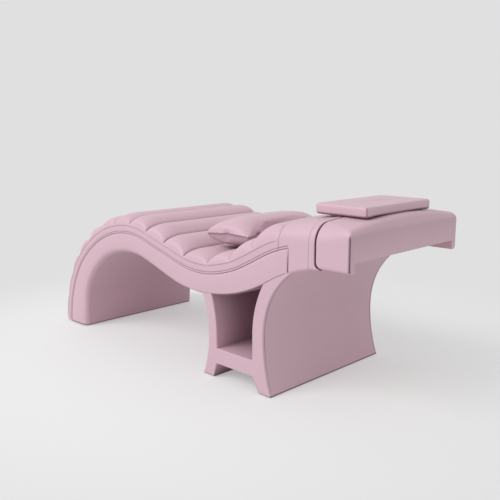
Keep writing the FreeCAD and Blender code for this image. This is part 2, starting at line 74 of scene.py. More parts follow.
# Border band: how far its lower seam strays from the deck line, by the length along it
BAND_HEIGHT = 0.0345
BAND_THICK = 0.012
BAND_PROUD = 0.0004
BAND_EDGE_ROUND = 0.0020
STRAY_AT = (0.05, 0.30, 0.44, 0.54, 0.66, 0.80, 0.95, 1.20, 1.50, 1.60, 1.70, 1.83)
STRAY = (0.0, 0.008, 0.006, 0.001, -0.002, -0.008, -0.0065, -0.0055, -0.001, -0.006, -0.013, -0.010)
STRAY_GRID = 0.010
STRAY_SOFT = np.hanning(13)

# Quilted top
HEM = 0.008
SHIN_CHANNELS = 6
SHIN_LENGTH = 0.711
CHANNEL_LENGTHS = (0.109, 0.1155, 0.1295, 0.1385, 0.157, 0.1465, 0.1385, 0.1285)
CHANNEL_STEPS = 26
QUILT_TOP = 0.0795
CALF_FILL = 0.008
CALF_FROM, CALF_TO = 0.80, 1.36
HEAD_FILL = 0.017
HEAD_FILL_POWER = 2.5
HEAD_FILL_FROM = 1.26
PUFF_RISE = 0.020
PUFF_POWER = 2.2
PUFF_FADE = 0.45
SHIN_CALM = 0.55
CALM_FROM, CALM_TO = 0.17, 0.54
PUFF_END_ROUND = 0.095
PUFF_FAR_END_ROUND = 0.062
PUFF_END_STEPS = 16
PUFF_END_FIRST = np.radians([0.0, 0.3, 1.0, 2.5])
QUILT_MIDDLE_STEPS = 46
QUILT_LOW_INSET = 0.004
QUILT_LOW_STEPS = 6
LAST_BLEND_FROM = 0.25
LAST_BULGE = 0.012
CREASE_DEPTH = 0.004
CREASE_WIDTH = 0.004
# Shade painted along the creases between the puffs
CREASE_LINE = 0.0028
CREASE_DARK = 0.85
CREASE_FAINT = 0.15
CREASE_FROM, CREASE_TO, CREASE_CHANGE = 0.66, 1.36, 0.06
CREASE_END_FROM, CREASE_END_RUN = 0.12, 0.35

# Padded sides and underside
INNER = 0.320
SIDE_BULGE = 0.0015
ARCH_ROUND = 0.028
SEAT_ROUND = 0.012
ROUND_FROM_X = -0.25
ROUND_TO_X = 0.15
SIDE_ROWS = 150
HIDDEN_TUCK = 0.0015
BELLY_THICK = 0.008
# Stretch above the pedestal where shade is painted on the lower edge's rounding
SADDLE_FROM_X = CREST_X + 0.490
SADDLE_TO_X = CREST_X + 0.960
SADDLE_FADE = 0.015
SADDLE_TURN = math.radians(15)
SADDLE_DARK = 0.8

# Seams and hems: widths, and how much shade is painted along them
SEAM_CURL = 0.0018
SEAM_CURL_WIDTH = 0.0022
SEAM_LINE = 0.0014
SEAM_DARK = 0.55
SEAM_FAINT = 0.35
PUFF_SEAM_DARK = 0.45
SEAM_END_FADE = 0.020
HEM_LINE = 0.006
HEM_FADE = 0.003
HEM_AND_CONTACT_DARK = 0.9

# Plain shoulder and head
HEAD_FOAM = 0.086
SHOULDER_RISE = 0.020
SHOULDER_RADIUS = 0.070
SHOULDER_START_RADIUS = 0.054
TOP_CROWN = 0.014
END_CROWN = 0.024
SHOULDER_SWEEP = math.pi / 2 - math.atan(2 * TOP_CROWN / (HALF - SHOULDER_RADIUS))
SEAM_DIP = 0.008
SEAM_RUN = 0.014
# Shade painted along the line where the shoulder starts
START_LINE = 0.0022
START_DARK = 0.75
GROOVE_ROUND = 0.005
GROOVE_SIDE_ROUND = 0.003
# Shade painted in the groove
GROOVE_LINE = 0.003
GROOVE_DARK = 0.9
SHOULDER_SEAM_FROM_END = 0.026
SHOULDER_SEAM_DEPTH = 0.0010
SHOULDER_SEAM_WIDTH = 0.0020
# Shade painted along the shoulder's seam
SHOULDER_SEAM_LINE = 0.0016
SHOULDER_ROLL = 0.0012
SHOULDER_TUCK = 0.0028
SHOULDER_STITCH_WIDTH = 0.0015
UNDER_SEAM_FADE = 0.0025
BEHIND_PAST, BEHIND_FADE = 0.001, 0.003
BEHIND_DEPTH = 0.031
HOOD_PART = math.radians(60)
HEAD_BOX_DEPTH = 0.049
LIP_DROP = 0.084
LIP_ROUND = 0.012
LIP_CORNER = 0.020
END_ROUND = 0.024
END_RADIUS = 0.028
END_RADIUS_LEAST = 0.004
END_SIDE_ROUND = 0.003
WRAP_STEP = 0.0002
SLIT_DEPTH = 0.007
SLIT_WIDTH = 0.0025
SLIT_FROM_END = 0.003
SLIT_TOP = 0.652
SLIT_FADE = 0.012
# Shade painted inside the slits
SLIT_DARK = 0.95

# Pedestal
PEDESTAL_HALF = 0.3485
PEDESTAL_FLOOR = 0.002
PEDESTAL_EDGE = 0.0045
PEDESTAL_SINK = 0.006
PEDESTAL_STITCH = 0.011
PEDESTAL_STITCH_DEPTH = 0.0009
PEDESTAL_STITCH_WIDTH = 0.0013
# Shade painted along the pedestal's stitched lines
PEDESTAL_STITCH_DARK = 0.65
PEDESTAL_THREAD_INSET = 0.0006
STITCH_FADE_FROM, STITCH_FADE_TO = 0.08, 0.20
NICHE_FROM = 0.030
# Shade painted on the niche's inner faces, growing deeper in
NICHE_SHADE = 0.50
NICHE_SHADE_DEEP = 0.180
MEET_REACH = 0.8
OUTER_STEPS = 44
OUTER_HEM_STEPS = 4
HEEL_POINTS = 4
SHELF_BOTTOM = 0.060
SHELF_TOP = 0.124

# Folds sharper than this are shaded as edges
SHARP_TURN = math.radians(50)

# Lines are halved this often to find a place on them, and lengths below TINY count as none
HALVINGS = 50
NEAR_DOUBLE = 1e-5
TINY = 1e-9

# Thread
STITCH_PITCH = 0.009
STITCH_LENGTH = 0.0065
STITCH_LINE = 0.008
STITCH_SINK = 0.0011
STITCH_WIDTH = 0.0016
STITCH_SHADE = 0.0012
THREAD_RADIUS = 0.0008
THREAD_LIFT = 0.0003
THREAD_SUNK = 0.0002

# Loose pieces
PILLOW_CUT = np.array([1.17, 1.05])
PILLOW_PLUMP = np.array([0.90, 0.48, 0.60])
PILLOW_SOFT = np.array([0.90, 0.70, 0.60])
PILLOW_SIDE_SLOPE, PILLOW_END_SLOPE = 1.2, 0.8
PILLOW_SOFT_FROM, PILLOW_SOFT_TO = -0.5, 0.3
PILLOW_BELOW = np.array([0.005, 0.0, 0.008])
PILLOW_ABOVE = np.array([0.0, 0.0, 0.005])
PILLOW_CLEAR = 0.001
# Shade painted along the pillow's seam and on its lower panel
PILLOW_SEAM = 0.8
PILLOW_SEAM_NEXT = -2.0
PILLOW_UNDER_SHADE = 0.30
PILLOW_TILT, PILLOW_HEAD_TILT = 0.040, 0.028
GATHER_PITCH = 0.024
GATHER_SWAY = 0.110
GATHER_START = 1.0
GATHER_WANDER = 2.2
GATHER_EVEN = 0.7
GATHER_HEIGHT = 0.0015
GATHER_REACH = 0.022
RAY_FROM = 1.0
PAD_TRIM = np.array([0.012, 0.0, 0.0])
PAD_FAR_TRIM = np.array([0.0, 0.010, 0.003])
PAD_EDGE = 0.009
PAD_MIDDLE = 0.97
PAD_CORNER = 0.012
# Shade painted along the pad's upright corner seams
PAD_CORNER_LINE = 0.0016
PAD_CORNER_DARK = 0.95
PAD_X_STEPS = 26
PAD_Y_STEPS = 46
PAD_SINK = 0.0008
PAD_SWELL = 0.0032
PAD_LIFT = 0.0008
PAD_DROOP = 0.007
PAD_END_FROM, PAD_END_DROOP = 0.8, 0.5
# Contact shadow painted on the pad's lower face and edge
PAD_SHADE = 0.0075


class Course:
    """A line of tangent runs and arcs in the XZ plane, read by the length along it."""

    def __init__(self, start, heading, moves):
        pieces = []
        self.length = 0.0
        x, z = start
        for length, turn in moves:
            pieces.append((self.length, x, z, heading, turn / length))
            x, z, heading = self.walk(np.array(pieces[-1]), length)
            self.length += length
        self.pieces = np.array(pieces)

    @staticmethod
    def walk(piece, run):
        """X, Z and heading after a run into a piece, for one piece or an array of them."""
        _, x, z, heading, bend = np.moveaxis(piece, -1, 0)
        angle = heading + bend * run
        straight = np.abs(bend) < TINY
        divisor = np.where(straight, 1.0, bend)
        x = x + np.where(straight, run * np.cos(heading), (np.sin(angle) - np.sin(heading)) / divisor)
        z = z + np.where(straight, run * np.sin(heading), (np.cos(heading) - np.cos(angle)) / divisor)
        return x, z, angle

    def heading(self, at):
        piece = self.piece(at)
        return self.walk(piece, at - piece[..., 0])[2]

    def piece(self, at):
        place = np.searchsorted(self.pieces[:, 0], at, side="right") - 1
        return self.pieces[np.clip(place, 0, None)]

    def point(self, at, off=0.0):
        """X and Z at lengths along the line and distances off it."""
        at = np.asarray(at, float)
        piece = self.piece(at)
        x, z, angle = self.walk(piece, at - piece[..., 0])
        return CREST_X + x - off * np.sin(angle), z + off * np.cos(angle)

    def reach(self, x, off=0.0):
        """Length along the line at which the point off it has this X."""
        x, off = np.broadcast_arrays(np.asarray(x, float), np.asarray(off, float))
        low, high = np.zeros(x.shape), np.full(x.shape, self.length)
        for _ in range(HALVINGS):
            middle = (low + high) / 2
            short = self.point(middle, off)[0] < x
            low, high = np.where(short, middle, low), np.where(short, high, middle)
        return low

    def rise(self, z):
        """Length along the foot's run at which the line has this Z."""
        return (z + RUN_OUT) / math.sin(FOOT_LEAN)

    def height(self, x):
        return self.point(self.reach(x))[1]


def bed_line(height, crest, turn, foot, calf_run, seat, back_run, neck):
    """Course from below the floor at the foot, over the crest and the seat, to the level head.

    height is that of the crest, turn is how far the crest's arc goes on towards the foot, and crest, foot,
    seat and neck are radii.
    """
    x = -crest * math.sin(turn) - foot * (math.sin(FOOT_LEAN) - math.sin(turn))
    z = height - crest * (1 - math.cos(turn)) - foot * (math.cos(turn) - math.cos(FOOT_LEAN))
    foot_run = (z + RUN_OUT) / math.sin(FOOT_LEAN)
    moves = [(foot_run, 0.0), ((FOOT_LEAN - turn) * foot, turn - FOOT_LEAN),
             ((turn + CALF_FALL) * crest, -turn - CALF_FALL), (calf_run, 0.0),
             ((CALF_FALL + BACK_RISE) * seat, CALF_FALL + BACK_RISE)]
    if back_run:
        moves.append((back_run, 0.0))
    moves += [(BACK_RISE * neck, -BACK_RISE), (LEVEL_RUN, 0.0)]
    return Course((x - foot_run * math.cos(FOOT_LEAN), -RUN_OUT), FOOT_LEAN, moves)


DECK = bed_line(height=0.531, crest=0.400, turn=math.radians(16.0), foot=0.580, calf_run=0.269, seat=0.470,
                back_run=0.062, neck=0.640)
UNDER = bed_line(height=0.4324, crest=0.405, turn=math.radians(55.0), foot=0.294, calf_run=0.1835, seat=0.744,
                 back_run=0.0, neck=0.644)
STITCH_UP = STITCH_LINE / math.cos(float(DECK.heading(DECK.reach(QUILT_X))))
HEAD_DECK = float(DECK.point(DECK.length)[1])
HEAD_TOP = HEAD_DECK + HEAD_FOAM
HEAD_FLOOR = HEAD_DECK - HEAD_BOX_DEPTH
LIP_Z = HEAD_DECK - LIP_DROP


def stray(at):
    """Distance of the band's lower seam from the deck line."""
    pad = len(STRAY_SOFT) // 2
    grid = STRAY_GRID * np.arange(-pad, DECK.length / STRAY_GRID + pad)
    soft = np.convolve(np.interp(grid, STRAY_AT, STRAY), STRAY_SOFT / STRAY_SOFT.sum(), mode="valid")
    return np.interp(at, grid[pad:-pad], soft)


def seam_height(x):
    """Height of the band's lower seam at a place along the bed."""
    shift = stray(DECK.reach(x))
    return DECK.point(DECK.reach(x, shift), shift)[1]


# Arithmetic that many pieces share
def blend(first, second, share):
    return first + (second - first) * share


def part_way(value, start, end):
    """How far a value has come from start to end, from 0 to 1."""
    return np.clip((value - start) / (end - start), 0.0, 1.0)


def smooth(share):
    share = np.clip(share, 0.0, 1.0)
    return share * share * (3 - 2 * share)


def within(value, start, end, fade):
    """1 between start and end, easing to 0 at both."""
    return smooth((value - start) / fade) * smooth((end - value) / fade)


def dip(distance, width):
    """Share of a seam's depth at a distance from it."""
    return np.exp(-(distance / width) ** 2)


def quarter(radius, distance):
    """How far a quarter round has fallen at a distance from its edge."""
    reach = np.clip(radius - distance, 0.0, radius)
    return radius - np.sqrt(radius ** 2 - reach ** 2)


def quarter_turn(steps):
    return np.linspace(0.0, np.pi / 2, steps)


def joined(*parts):
    """Parts of rows put one after another."""
    return np.concatenate(parts, axis=-1)


def crowd(*groups):
    """Sorted places along a line, with near doubles left out."""
    places = np.sort(joined(*groups))
    return places[np.append(True, np.diff(places) > NEAR_DOUBLE)]


def darkest(*shares):
    return np.maximum.reduce(np.broadcast_arrays(*shares))


def stack(x, y, z):
    return np.stack(np.broadcast_arrays(x, y, z), axis=-1)


# Materials
def feed(tree, made, inputs):
    """Sets a node's inputs to constants, or links them to outputs of other nodes."""
    for name, value in inputs.items():
        if isinstance(value, bpy.types.NodeSocket):
            tree.links.new(value, made.inputs[name])
        else:
            made.inputs[name].default_value = value


def node(tree, kind, inputs=None, **values):
    made = tree.nodes.new("ShaderNode" + kind)
    for name, value in values.items():
        setattr(made, name, value)
    feed(tree, made, inputs or {})
    return made


def surface(name):
    """New node material with its Principled shader and its object coordinates."""
    material = bpy.data.materials.new(name)
    material.use_nodes = True
    tree = material.node_tree
    return material, tree, tree.nodes["Principled BSDF"], node(tree, "TexCoord").outputs["Object"]


def noise(tree, place, scale, detail, rough=0.5):
    inputs = {"Vector": place, "Scale": scale, "Detail": detail, "Roughness": rough}
    return node(tree, "TexNoise", inputs).outputs["Fac"]


def waves(tree, place, scale, direction):
    return node(tree, "TexWave", {"Vector": place, "Scale": scale}, bands_direction=direction).outputs["Fac"]


def stretched(tree, place, scale):
    return node(tree, "Mapping", {"Vector": place, "Scale": scale}).outputs["Vector"]


def spread(tree, value, low, high):
    """A 0 to 1 value stretched to run from low to high."""
    return node(tree, "MapRange", {"Value": value, "To Min": low, "To Max": high}).outputs["Result"]


def tint(tree, share, first, second):
    """Colour between two, by a share from a texture or an attribute."""
    made = node(tree, "Mix", {"Factor": share}, data_type="RGBA")
    colours = [i for i, socket in enumerate(made.inputs) if socket.type == "RGBA"]
    for i, colour in zip(colours, (first, second)):
        feed(tree, made, {i: (*colour, 1.0) if isinstance(colour, tuple) else colour})
    return [socket for socket in made.outputs if socket.type == "RGBA"][0]


def bump(tree, shader, height, strength, distance, under=None):
    made = node(tree, "Bump", {"Height": height, "Strength": strength, "Distance": distance})
    if under is not None:
        feed(tree, made, {"Normal": under})
    feed(tree, shader, {"Normal": made.outputs["Normal"]})
    return made.outputs["Normal"]


def finish(tree, shader, colour, rough, grain, strength, distance):
    """Colour, roughness and fine relief of a surface, with the last two by one texture."""
    bump(tree, shader, grain, strength, distance)
    feed(tree, shader, {"Base Color": colour, "Roughness": spread(tree, grain, *rough)})


def leatherette(name, colour, shade, painted_shade_colour):
    """Coated cloth with a fine pebble grain, faint mottling and painted shade in seams, creases and recesses.
    """
    material, tree, shader, place = surface(name)
    base = tint(tree, noise(tree, place, 9.0, 3.0), colour, shade)
    # Painted shade: an attribute on the points darkens the colour where seams, creases, grooves and recesses
    # lie in shade.
    painted_shade = node(tree, "Attribute", attribute_name="painted_shade").outputs["Fac"]
    wrinkle = noise(tree, place, 160.0, 4.0, 0.6)
    soft = bump(tree, shader, wrinkle, 0.10, 0.0012)
    pebble = node(tree, "TexVoronoi", {"Vector": place, "Scale": 620.0}, feature="SMOOTH_F1")
    bump(tree, shader, pebble.outputs["Distance"], 0.16, 0.0006, soft)
    feed(tree, shader, {"Base Color": tint(tree, painted_shade, base, painted_shade_colour),
                        "Roughness": spread(tree, wrinkle, 0.40, 0.56), "Specular IOR Level": 0.42,
                        "Sheen Weight": 0.08, "Sheen Roughness": 0.45})
    return material


def thread(name, colour, shade):
    """Twisted sewing thread."""
    material, tree, shader, place = surface(name)
    twist = waves(tree, place, 520.0, "DIAGONAL")
    finish(tree, shader, tint(tree, twist, shade, colour), (0.55, 0.75), twist, 0.3, 0.0003)
    return material


def plywood(name):
    """Pale birch plywood with grain along X and thin darker plies."""
    material, tree, shader, place = surface(name)
    figure = noise(tree, stretched(tree, place, (4.0, 60.0, 60.0)), 3.0, 5.0)
    plies = spread(tree, waves(tree, place, 110.0, "Z"), 0.0, 0.25)
    wood = tint(tree, figure, (0.62, 0.45, 0.27), (0.72, 0.57, 0.38))
    finish(tree, shader, tint(tree, plies, wood, (0.42, 0.28, 0.15)), (0.5, 0.7), figure, 0.2, 0.0006)
    return material


def steel(name):
    """Brushed steel."""
    material, tree, shader, place = surface(name)
    lines = noise(tree, stretched(tree, place, (8.0, 300.0, 300.0)), 4.0, 3.0)
    metal = tint(tree, lines, (0.40, 0.41, 0.42), (0.58, 0.59, 0.60))
    finish(tree, shader, metal, (0.28, 0.42), lines, 0.1, 0.0002)
    feed(tree, shader, {"Metallic": 1.0})
    return material


def moulded(name):
    """Dark moulded plastic with a fine spark-eroded texture and scuffs."""
    material, tree, shader, place = surface(name)
    scuffs = noise(tree, place, 60.0, 4.0)
    bump(tree, shader, noise(tree, place, 900.0, 2.0), 0.25, 0.0003)
    feed(tree, shader, {"Base Color": tint(tree, scuffs, (0.020, 0.020, 0.021), (0.050, 0.048, 0.048)),
                        "Roughness": spread(tree, scuffs, 0.42, 0.62)})
    return material


# Colour of the shade painted in seams, creases, grooves and recesses.
PAINTED_SHADE_COLOUR = (0.165, 0.080, 0.110)
PINK = leatherette("pink_leatherette", (0.660, 0.447, 0.522), (0.690, 0.475, 0.550), PAINTED_SHADE_COLOUR)
LINING = leatherette("underside_leatherette", (0.645, 0.435, 0.508), (0.675, 0.460, 0.535), PAINTED_SHADE_COLOUR)
THREAD = thread("seam_thread", (0.300, 0.165, 0.215), (0.210, 0.110, 0.150))
PLYWOOD = plywood("birch_plywood")
STEEL = steel("brushed_steel")
PLASTIC = moulded("moulded_plastic")


# Meshes
def in_scene(name, data):
    """New object for a mesh, a lamp or a camera."""
    obj = bpy.data.objects.new(name, data)
    bpy.context.scene.collection.objects.link(obj)
    return obj


def mesh_of(name, points, faces):
    mesh = bpy.data.meshes.new(name)
    mesh.from_pydata(np.reshape(points, (-1, 3)).tolist(), [], faces)
    return mesh


def tube_faces(index):
    """Quads round tubes of point numbers in rows of closed loops, and a cap for both ends of each tube."""
    after = np.roll(index, -1, axis=2)
    quads = np.stack([index[:, :-1], after[:, :-1], after[:, 1:], index[:, 1:]], axis=-1)
    return quads.reshape(-1, 4).tolist() + index[:, 0, ::-1].tolist() + index[:, -1].tolist()


def skin(name, points, painted_shade):
    """Closed skin through rows of closed loops of points, with both ends capped."""
    rows, loop, _ = points.shape
    mesh = mesh_of(name, points, tube_faces(np.arange(rows * loop).reshape(1, rows, loop)))
    work = bmesh.new()
    work.from_mesh(mesh)
    bmesh.ops.recalc_face_normals(work, faces=work.faces)
    for face in work.faces:
        face.smooth = True
    for edge in work.edges:
        edge.smooth = edge.calc_face_angle() < SHARP_TURN
    for cap in list(work.faces)[-2:]:
        for edge in cap.edges:
            edge.smooth = False
    work.to_mesh(mesh)
    work.free()
    return piece(name, mesh, np.broadcast_to(painted_shade, (rows, loop)).reshape(-1))


def piece(name, mesh, painted_shade=None):
    """Object for a mesh, with the shade painted at its seams, creases and recesses kept on its points."""
    shades = mesh.attributes.new("painted_shade", "FLOAT", "POINT")
    if painted_shade is not None:
        shades.data.foreach_set("value", np.minimum(painted_shade, 1.0).astype(np.float32))
    return in_scene(name, mesh)


def dress(obj, *nodes, fill=None, body="bed", material=PINK, slot="pink_leatherette"):
    """Gives a piece its material and body, and hides the solids that it stands for; slot and fill are not
    used.
    """
    obj.data.materials.append(material)
    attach(obj, body)
    if nodes:
        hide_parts(*nodes)


def along_path(at, run, values):
    """Points or directions along a path, at lengths between those that they are given for."""
    return np.stack([np.interp(at, run, values[:, i]) for i in range(3)], axis=-1)


def stitches(name, paths):
    """Rows of thread stitches along paths, each given as its points and the way out of the surface."""
    sides, stations, taper, arch, buried = 6, 5, 0.45, 1.5, 0.8
    t = np.linspace(0.0, 1.0, stations)
    ring = np.linspace(0.0, 2 * np.pi, sides, endpoint=False)[:, None]
    thick = THREAD_RADIUS * (taper + (1 - taper) * np.sin(np.pi * t))
    lift = THREAD_RADIUS * (arch * np.sin(np.pi * t) - buried)
    tubes = []
    for path, out in paths:
        run = np.append(0.0, np.cumsum(np.linalg.norm(np.diff(path, axis=0), axis=1)))
        starts = np.arange(STITCH_PITCH / 2, run[-1] - STITCH_LENGTH, STITCH_PITCH)
        at = starts[:, None] + STITCH_LENGTH * t
        centre, up = along_path(at, run, path), along_path(at, run, out)
        along = np.gradient(centre, axis=1)
        along /= np.linalg.norm(along, axis=-1, keepdims=True)
        up -= along * np.sum(up * along, axis=-1, keepdims=True)
        up /= np.linalg.norm(up, axis=-1, keepdims=True)
        side = np.cross(along, up)
        centre = centre + up * lift[:, None]
        spoke = up[:, :, None] * np.cos(ring) + side[:, :, None] * np.sin(ring)
        tubes.append(centre[:, :, None] + spoke * thick[:, None, None])
    tubes = np.concatenate(tubes)
    mesh = mesh_of(name, tubes, tube_faces(np.arange(tubes[..., 0].size).reshape(tubes.shape[:3])))
    mesh.shade_smooth()
    dress(piece(name, mesh), material=THREAD)


# Quilted top
def seam_places():
    """Lengths along the deck line of the sewn seams across the bed."""
    first = DECK.rise(FLOOR_GAP + HEM)
    shin = np.linspace(first, first + SHIN_LENGTH, SHIN_CHANNELS + 1)
    return np.append(shin, shin[-1] + np.cumsum(CHANNEL_LENGTHS))


def hood_spring(top, radius, fall=TOP_CROWN):
    """Height at which the side of a hood turns into its rounded shoulder."""
    return top - fall - radius * math.sin(SHOULDER_SWEEP)


def hood_flat(side, radius):
    """Distance from the middle at which the rounded shoulder runs into the crowned top."""
    return side - radius * (1 - math.cos(SHOULDER_SWEEP))


def hood_corner(top, side, radius, z, fall):
    """Distance from the middle of the hood's side or rounded shoulder at a height."""
    rise = np.clip(z - hood_spring(top, radius, fall), 0.0, radius)
    return side - radius + np.sqrt(radius ** 2 - rise ** 2)


def crown(top, y, flat, fall=TOP_CROWN):
    """Height of the crowned top, which falls off towards the sides."""
    return top - fall * (y / flat) ** 2


def shoulder_start(turn, middle, off):
    """Y and Z across the bed of the outline in which the last puff meets the shoulder."""
    top, radius = HEAD_TOP - SHOULDER_RISE - SEAM_DIP, SHOULDER_START_RADIUS
    spring, flat = hood_spring(top, radius), hood_flat(HALF, radius)
    low = DECK.point(DECK.reach(QUILT_X, off), off)[1]
    first = math.asin(np.clip((low - spring) / radius, 0.0, 1.0))
    corner = first + (SHOULDER_SWEEP - first) * turn / (np.pi / 2)
    y = HALF - radius * (1 - np.cos(corner))
    z = spring + radius * np.sin(corner)
    return joined(-y, middle * flat, y[::-1]), joined(z, crown(top, middle * flat, flat), z[::-1])


def quilt_threads(rows, places):
    """Stitches along the creases between the puffs."""
    paths = []
    for row, angle in zip(rows, DECK.heading(places)):
        out = np.tile([-math.sin(angle), 0.0, math.cos(angle)], (len(row), 1))
        paths.append((row + out * THREAD_LIFT, out))
    stitches("quilt_stitches", paths)


def quilt():
    """Sewn puffs across the bed, rounded down to the band at both sides."""
    seams = seam_places()
    spans = np.diff(seams)
    steps = (1 - np.cos(np.pi * np.arange(CHANNEL_STEPS) / CHANNEL_STEPS)) / 2
    t = np.append(np.tile(steps, len(spans)), 1.0)[:, None]
    channel = np.append(np.repeat(np.arange(len(spans)), CHANNEL_STEPS), len(spans) - 1)[:, None]
    last = channel == len(spans) - 1
    span = spans[channel]
    s = seams[channel] + span * t
    puff = 1 - np.abs(2 * t - 1) ** PUFF_POWER
    to_seam = np.minimum(t, 1 - t) * span
    swell = PUFF_RISE * (1 - SHIN_CALM * (1 - smooth(part_way(s, CALM_FROM, CALM_TO))))
    relief = swell * puff - CREASE_DEPTH * dip(to_seam, CREASE_WIDTH)
    base = stray(s) + BAND_HEIGHT + FIT
    calf = np.sin(np.pi * part_way(s, CALF_FROM, CALF_TO)) ** 2
    growth = part_way(s, HEAD_FILL_FROM, seams[-1]) ** HEAD_FILL_POWER
    valley = QUILT_TOP + CALF_FILL * calf + HEAD_FILL * growth - base - swell

    turn = np.append(PUFF_END_FIRST, np.linspace(2 * PUFF_END_FIRST[-1], np.pi / 2, PUFF_END_STEPS))
    edge, full = 1 - np.cos(turn), np.sin(turn)
    middle = np.linspace(-1.0, 1.0, QUILT_MIDDLE_STEPS)[1:-1]
    between = np.linspace(PUFF_END_ROUND - HALF, HALF - PUFF_FAR_END_ROUND, QUILT_MIDDLE_STEPS)[1:-1]
    y = joined(PUFF_END_ROUND * edge - HALF, between, HALF - PUFF_FAR_END_ROUND * edge[::-1])
    fullness = joined(full, np.ones(len(middle)), full[::-1])

    rise = fullness * valley
    off = base + rise + smooth(fullness / PUFF_FADE) * relief
    lean = DECK.reach(QUILT_X - FIT, off[-1]) - seams[-1]
    x, z = DECK.point(s + np.where(last, t, 0.0) * lean, off)

    # The last puff runs into the outline of the shoulder.
    end_y, end_z = shoulder_start(turn, middle, base[-1, 0])
    share = np.where(last, smooth(part_way(t, LAST_BLEND_FROM, 1.0)), 0.0)
    y = blend(y, end_y, share)
    shoulder_z = end_z + z[:, :1] - z[-1, 0] - CREASE_DEPTH * dip((1 - t) * span, CREASE_WIDTH)
    z = blend(z, shoulder_z + np.where(last, LAST_BULGE * puff, 0.0) * fullness, share)

    low_y = np.linspace(HALF - QUILT_LOW_INSET, QUILT_LOW_INSET - HALF, QUILT_LOW_STEPS)
    low_x, low_z = DECK.point(s, base)
    points = np.concatenate([stack(x, y, z), stack(np.minimum(low_x, QUILT_X - FIT), low_y, low_z)], axis=1)
    # Shade is painted along the creases between the puffs, and along the puffs' lower edge where they meet
    # the band.
    strong = within(s, CREASE_FROM, CREASE_TO, CREASE_CHANGE)
    crease = blend(CREASE_FAINT, CREASE_DARK, strong) * dip(to_seam, CREASE_LINE)
    open_end = smooth((seams[-1] - s) / SEAM_END_FADE)
    dark = np.maximum(crease * smooth((fullness - CREASE_END_FROM) / CREASE_END_RUN),
                      PUFF_SEAM_DARK * open_end * dip(rise, SEAM_LINE))
    obj = skin("quilted_cover", points, joined(dark, np.ones((len(s), len(low_y)))))
    dress(obj, "quilted_top", "foam_core", fill=0.8)
    inner = slice(len(turn) // 2, x.shape[1] - len(turn) // 2)
    quilt_threads(points[CHANNEL_STEPS:-1:CHANNEL_STEPS, inner], seams[1:-1])
    return obj


def band(side, label):
    """Plain strip under the puffs with a stitched line along its lower edge."""
    edge = np.array([0.0, 0.0, 0.0006, 0.0018, 0.0035])
    line = STITCH_LINE + np.array([-0.0026, -0.0012, 0.0, 0.0012, 0.0026])
    plain = np.linspace(0.014, BAND_HEIGHT - 0.007, 4)
    across = joined(edge, line, plain, BAND_HEIGHT - edge[::-1])
    to_edge, to_line = np.minimum(across, BAND_HEIGHT - across), across - STITCH_LINE
    out = HALF + BAND_PROUD - quarter(BAND_EDGE_ROUND, to_edge) - STITCH_SINK * dip(to_line, STITCH_WIDTH)
    out[[0, -1]] = HALF - BAND_THICK
    off = FIT + across * (1 - FIT / BAND_HEIGHT)
    foot, ends = DECK.rise(FLOOR_GAP), DECK.reach(QUILT_X - FIT, off + stray(DECK.reach(QUILT_X)))
    share = np.linspace(0.0, 1.0, SIDE_ROWS)[:, None]
    s = blend(foot, ends, share)
    x, z = DECK.point(s, off + stray(s))
    # Shade is painted along both edges of the band and along its stitched line.
    before_end = smooth((1 - share) * (ends[0] - foot) / SEAM_END_FADE)
    edge_dark = np.where(across > BAND_HEIGHT / 2, SEAM_FAINT * before_end, SEAM_DARK)
    painted_shade = np.maximum(edge_dark * dip(to_edge, SEAM_LINE), SEAM_DARK * dip(to_line, STITCH_SHADE))
    obj = skin(f"border_{label}", stack(x, side * out, z), painted_shade)
    dress(obj, f"border_band_{label}", fill=0.7)
    s = np.linspace(foot, DECK.reach(FASCIA_X, STITCH_LINE), SIDE_ROWS)
    x, z = DECK.point(s, stray(s) + STITCH_LINE + FIT)
    path = stack(x, side * (HALF - THREAD_SUNK), z)
    stitches(f"border_stitches_{label}", [(path, np.tile([0.0, side, 0.0], (len(s), 1)))])


# Sides and underside
def hem_and_contact_shade(up):
    """How dark the lower edge is at a height above it: a folded hem with painted contact shadow."""
    return HEM_AND_CONTACT_DARK * smooth((HEM_LINE - up) / HEM_FADE)


def side_round(x):
    """Radius of the lower edge of the side, large at the foot's arch and small under the seat."""
    return blend(ARCH_ROUND, SEAT_ROUND, smooth(part_way(x, ROUND_FROM_X, ROUND_TO_X)))


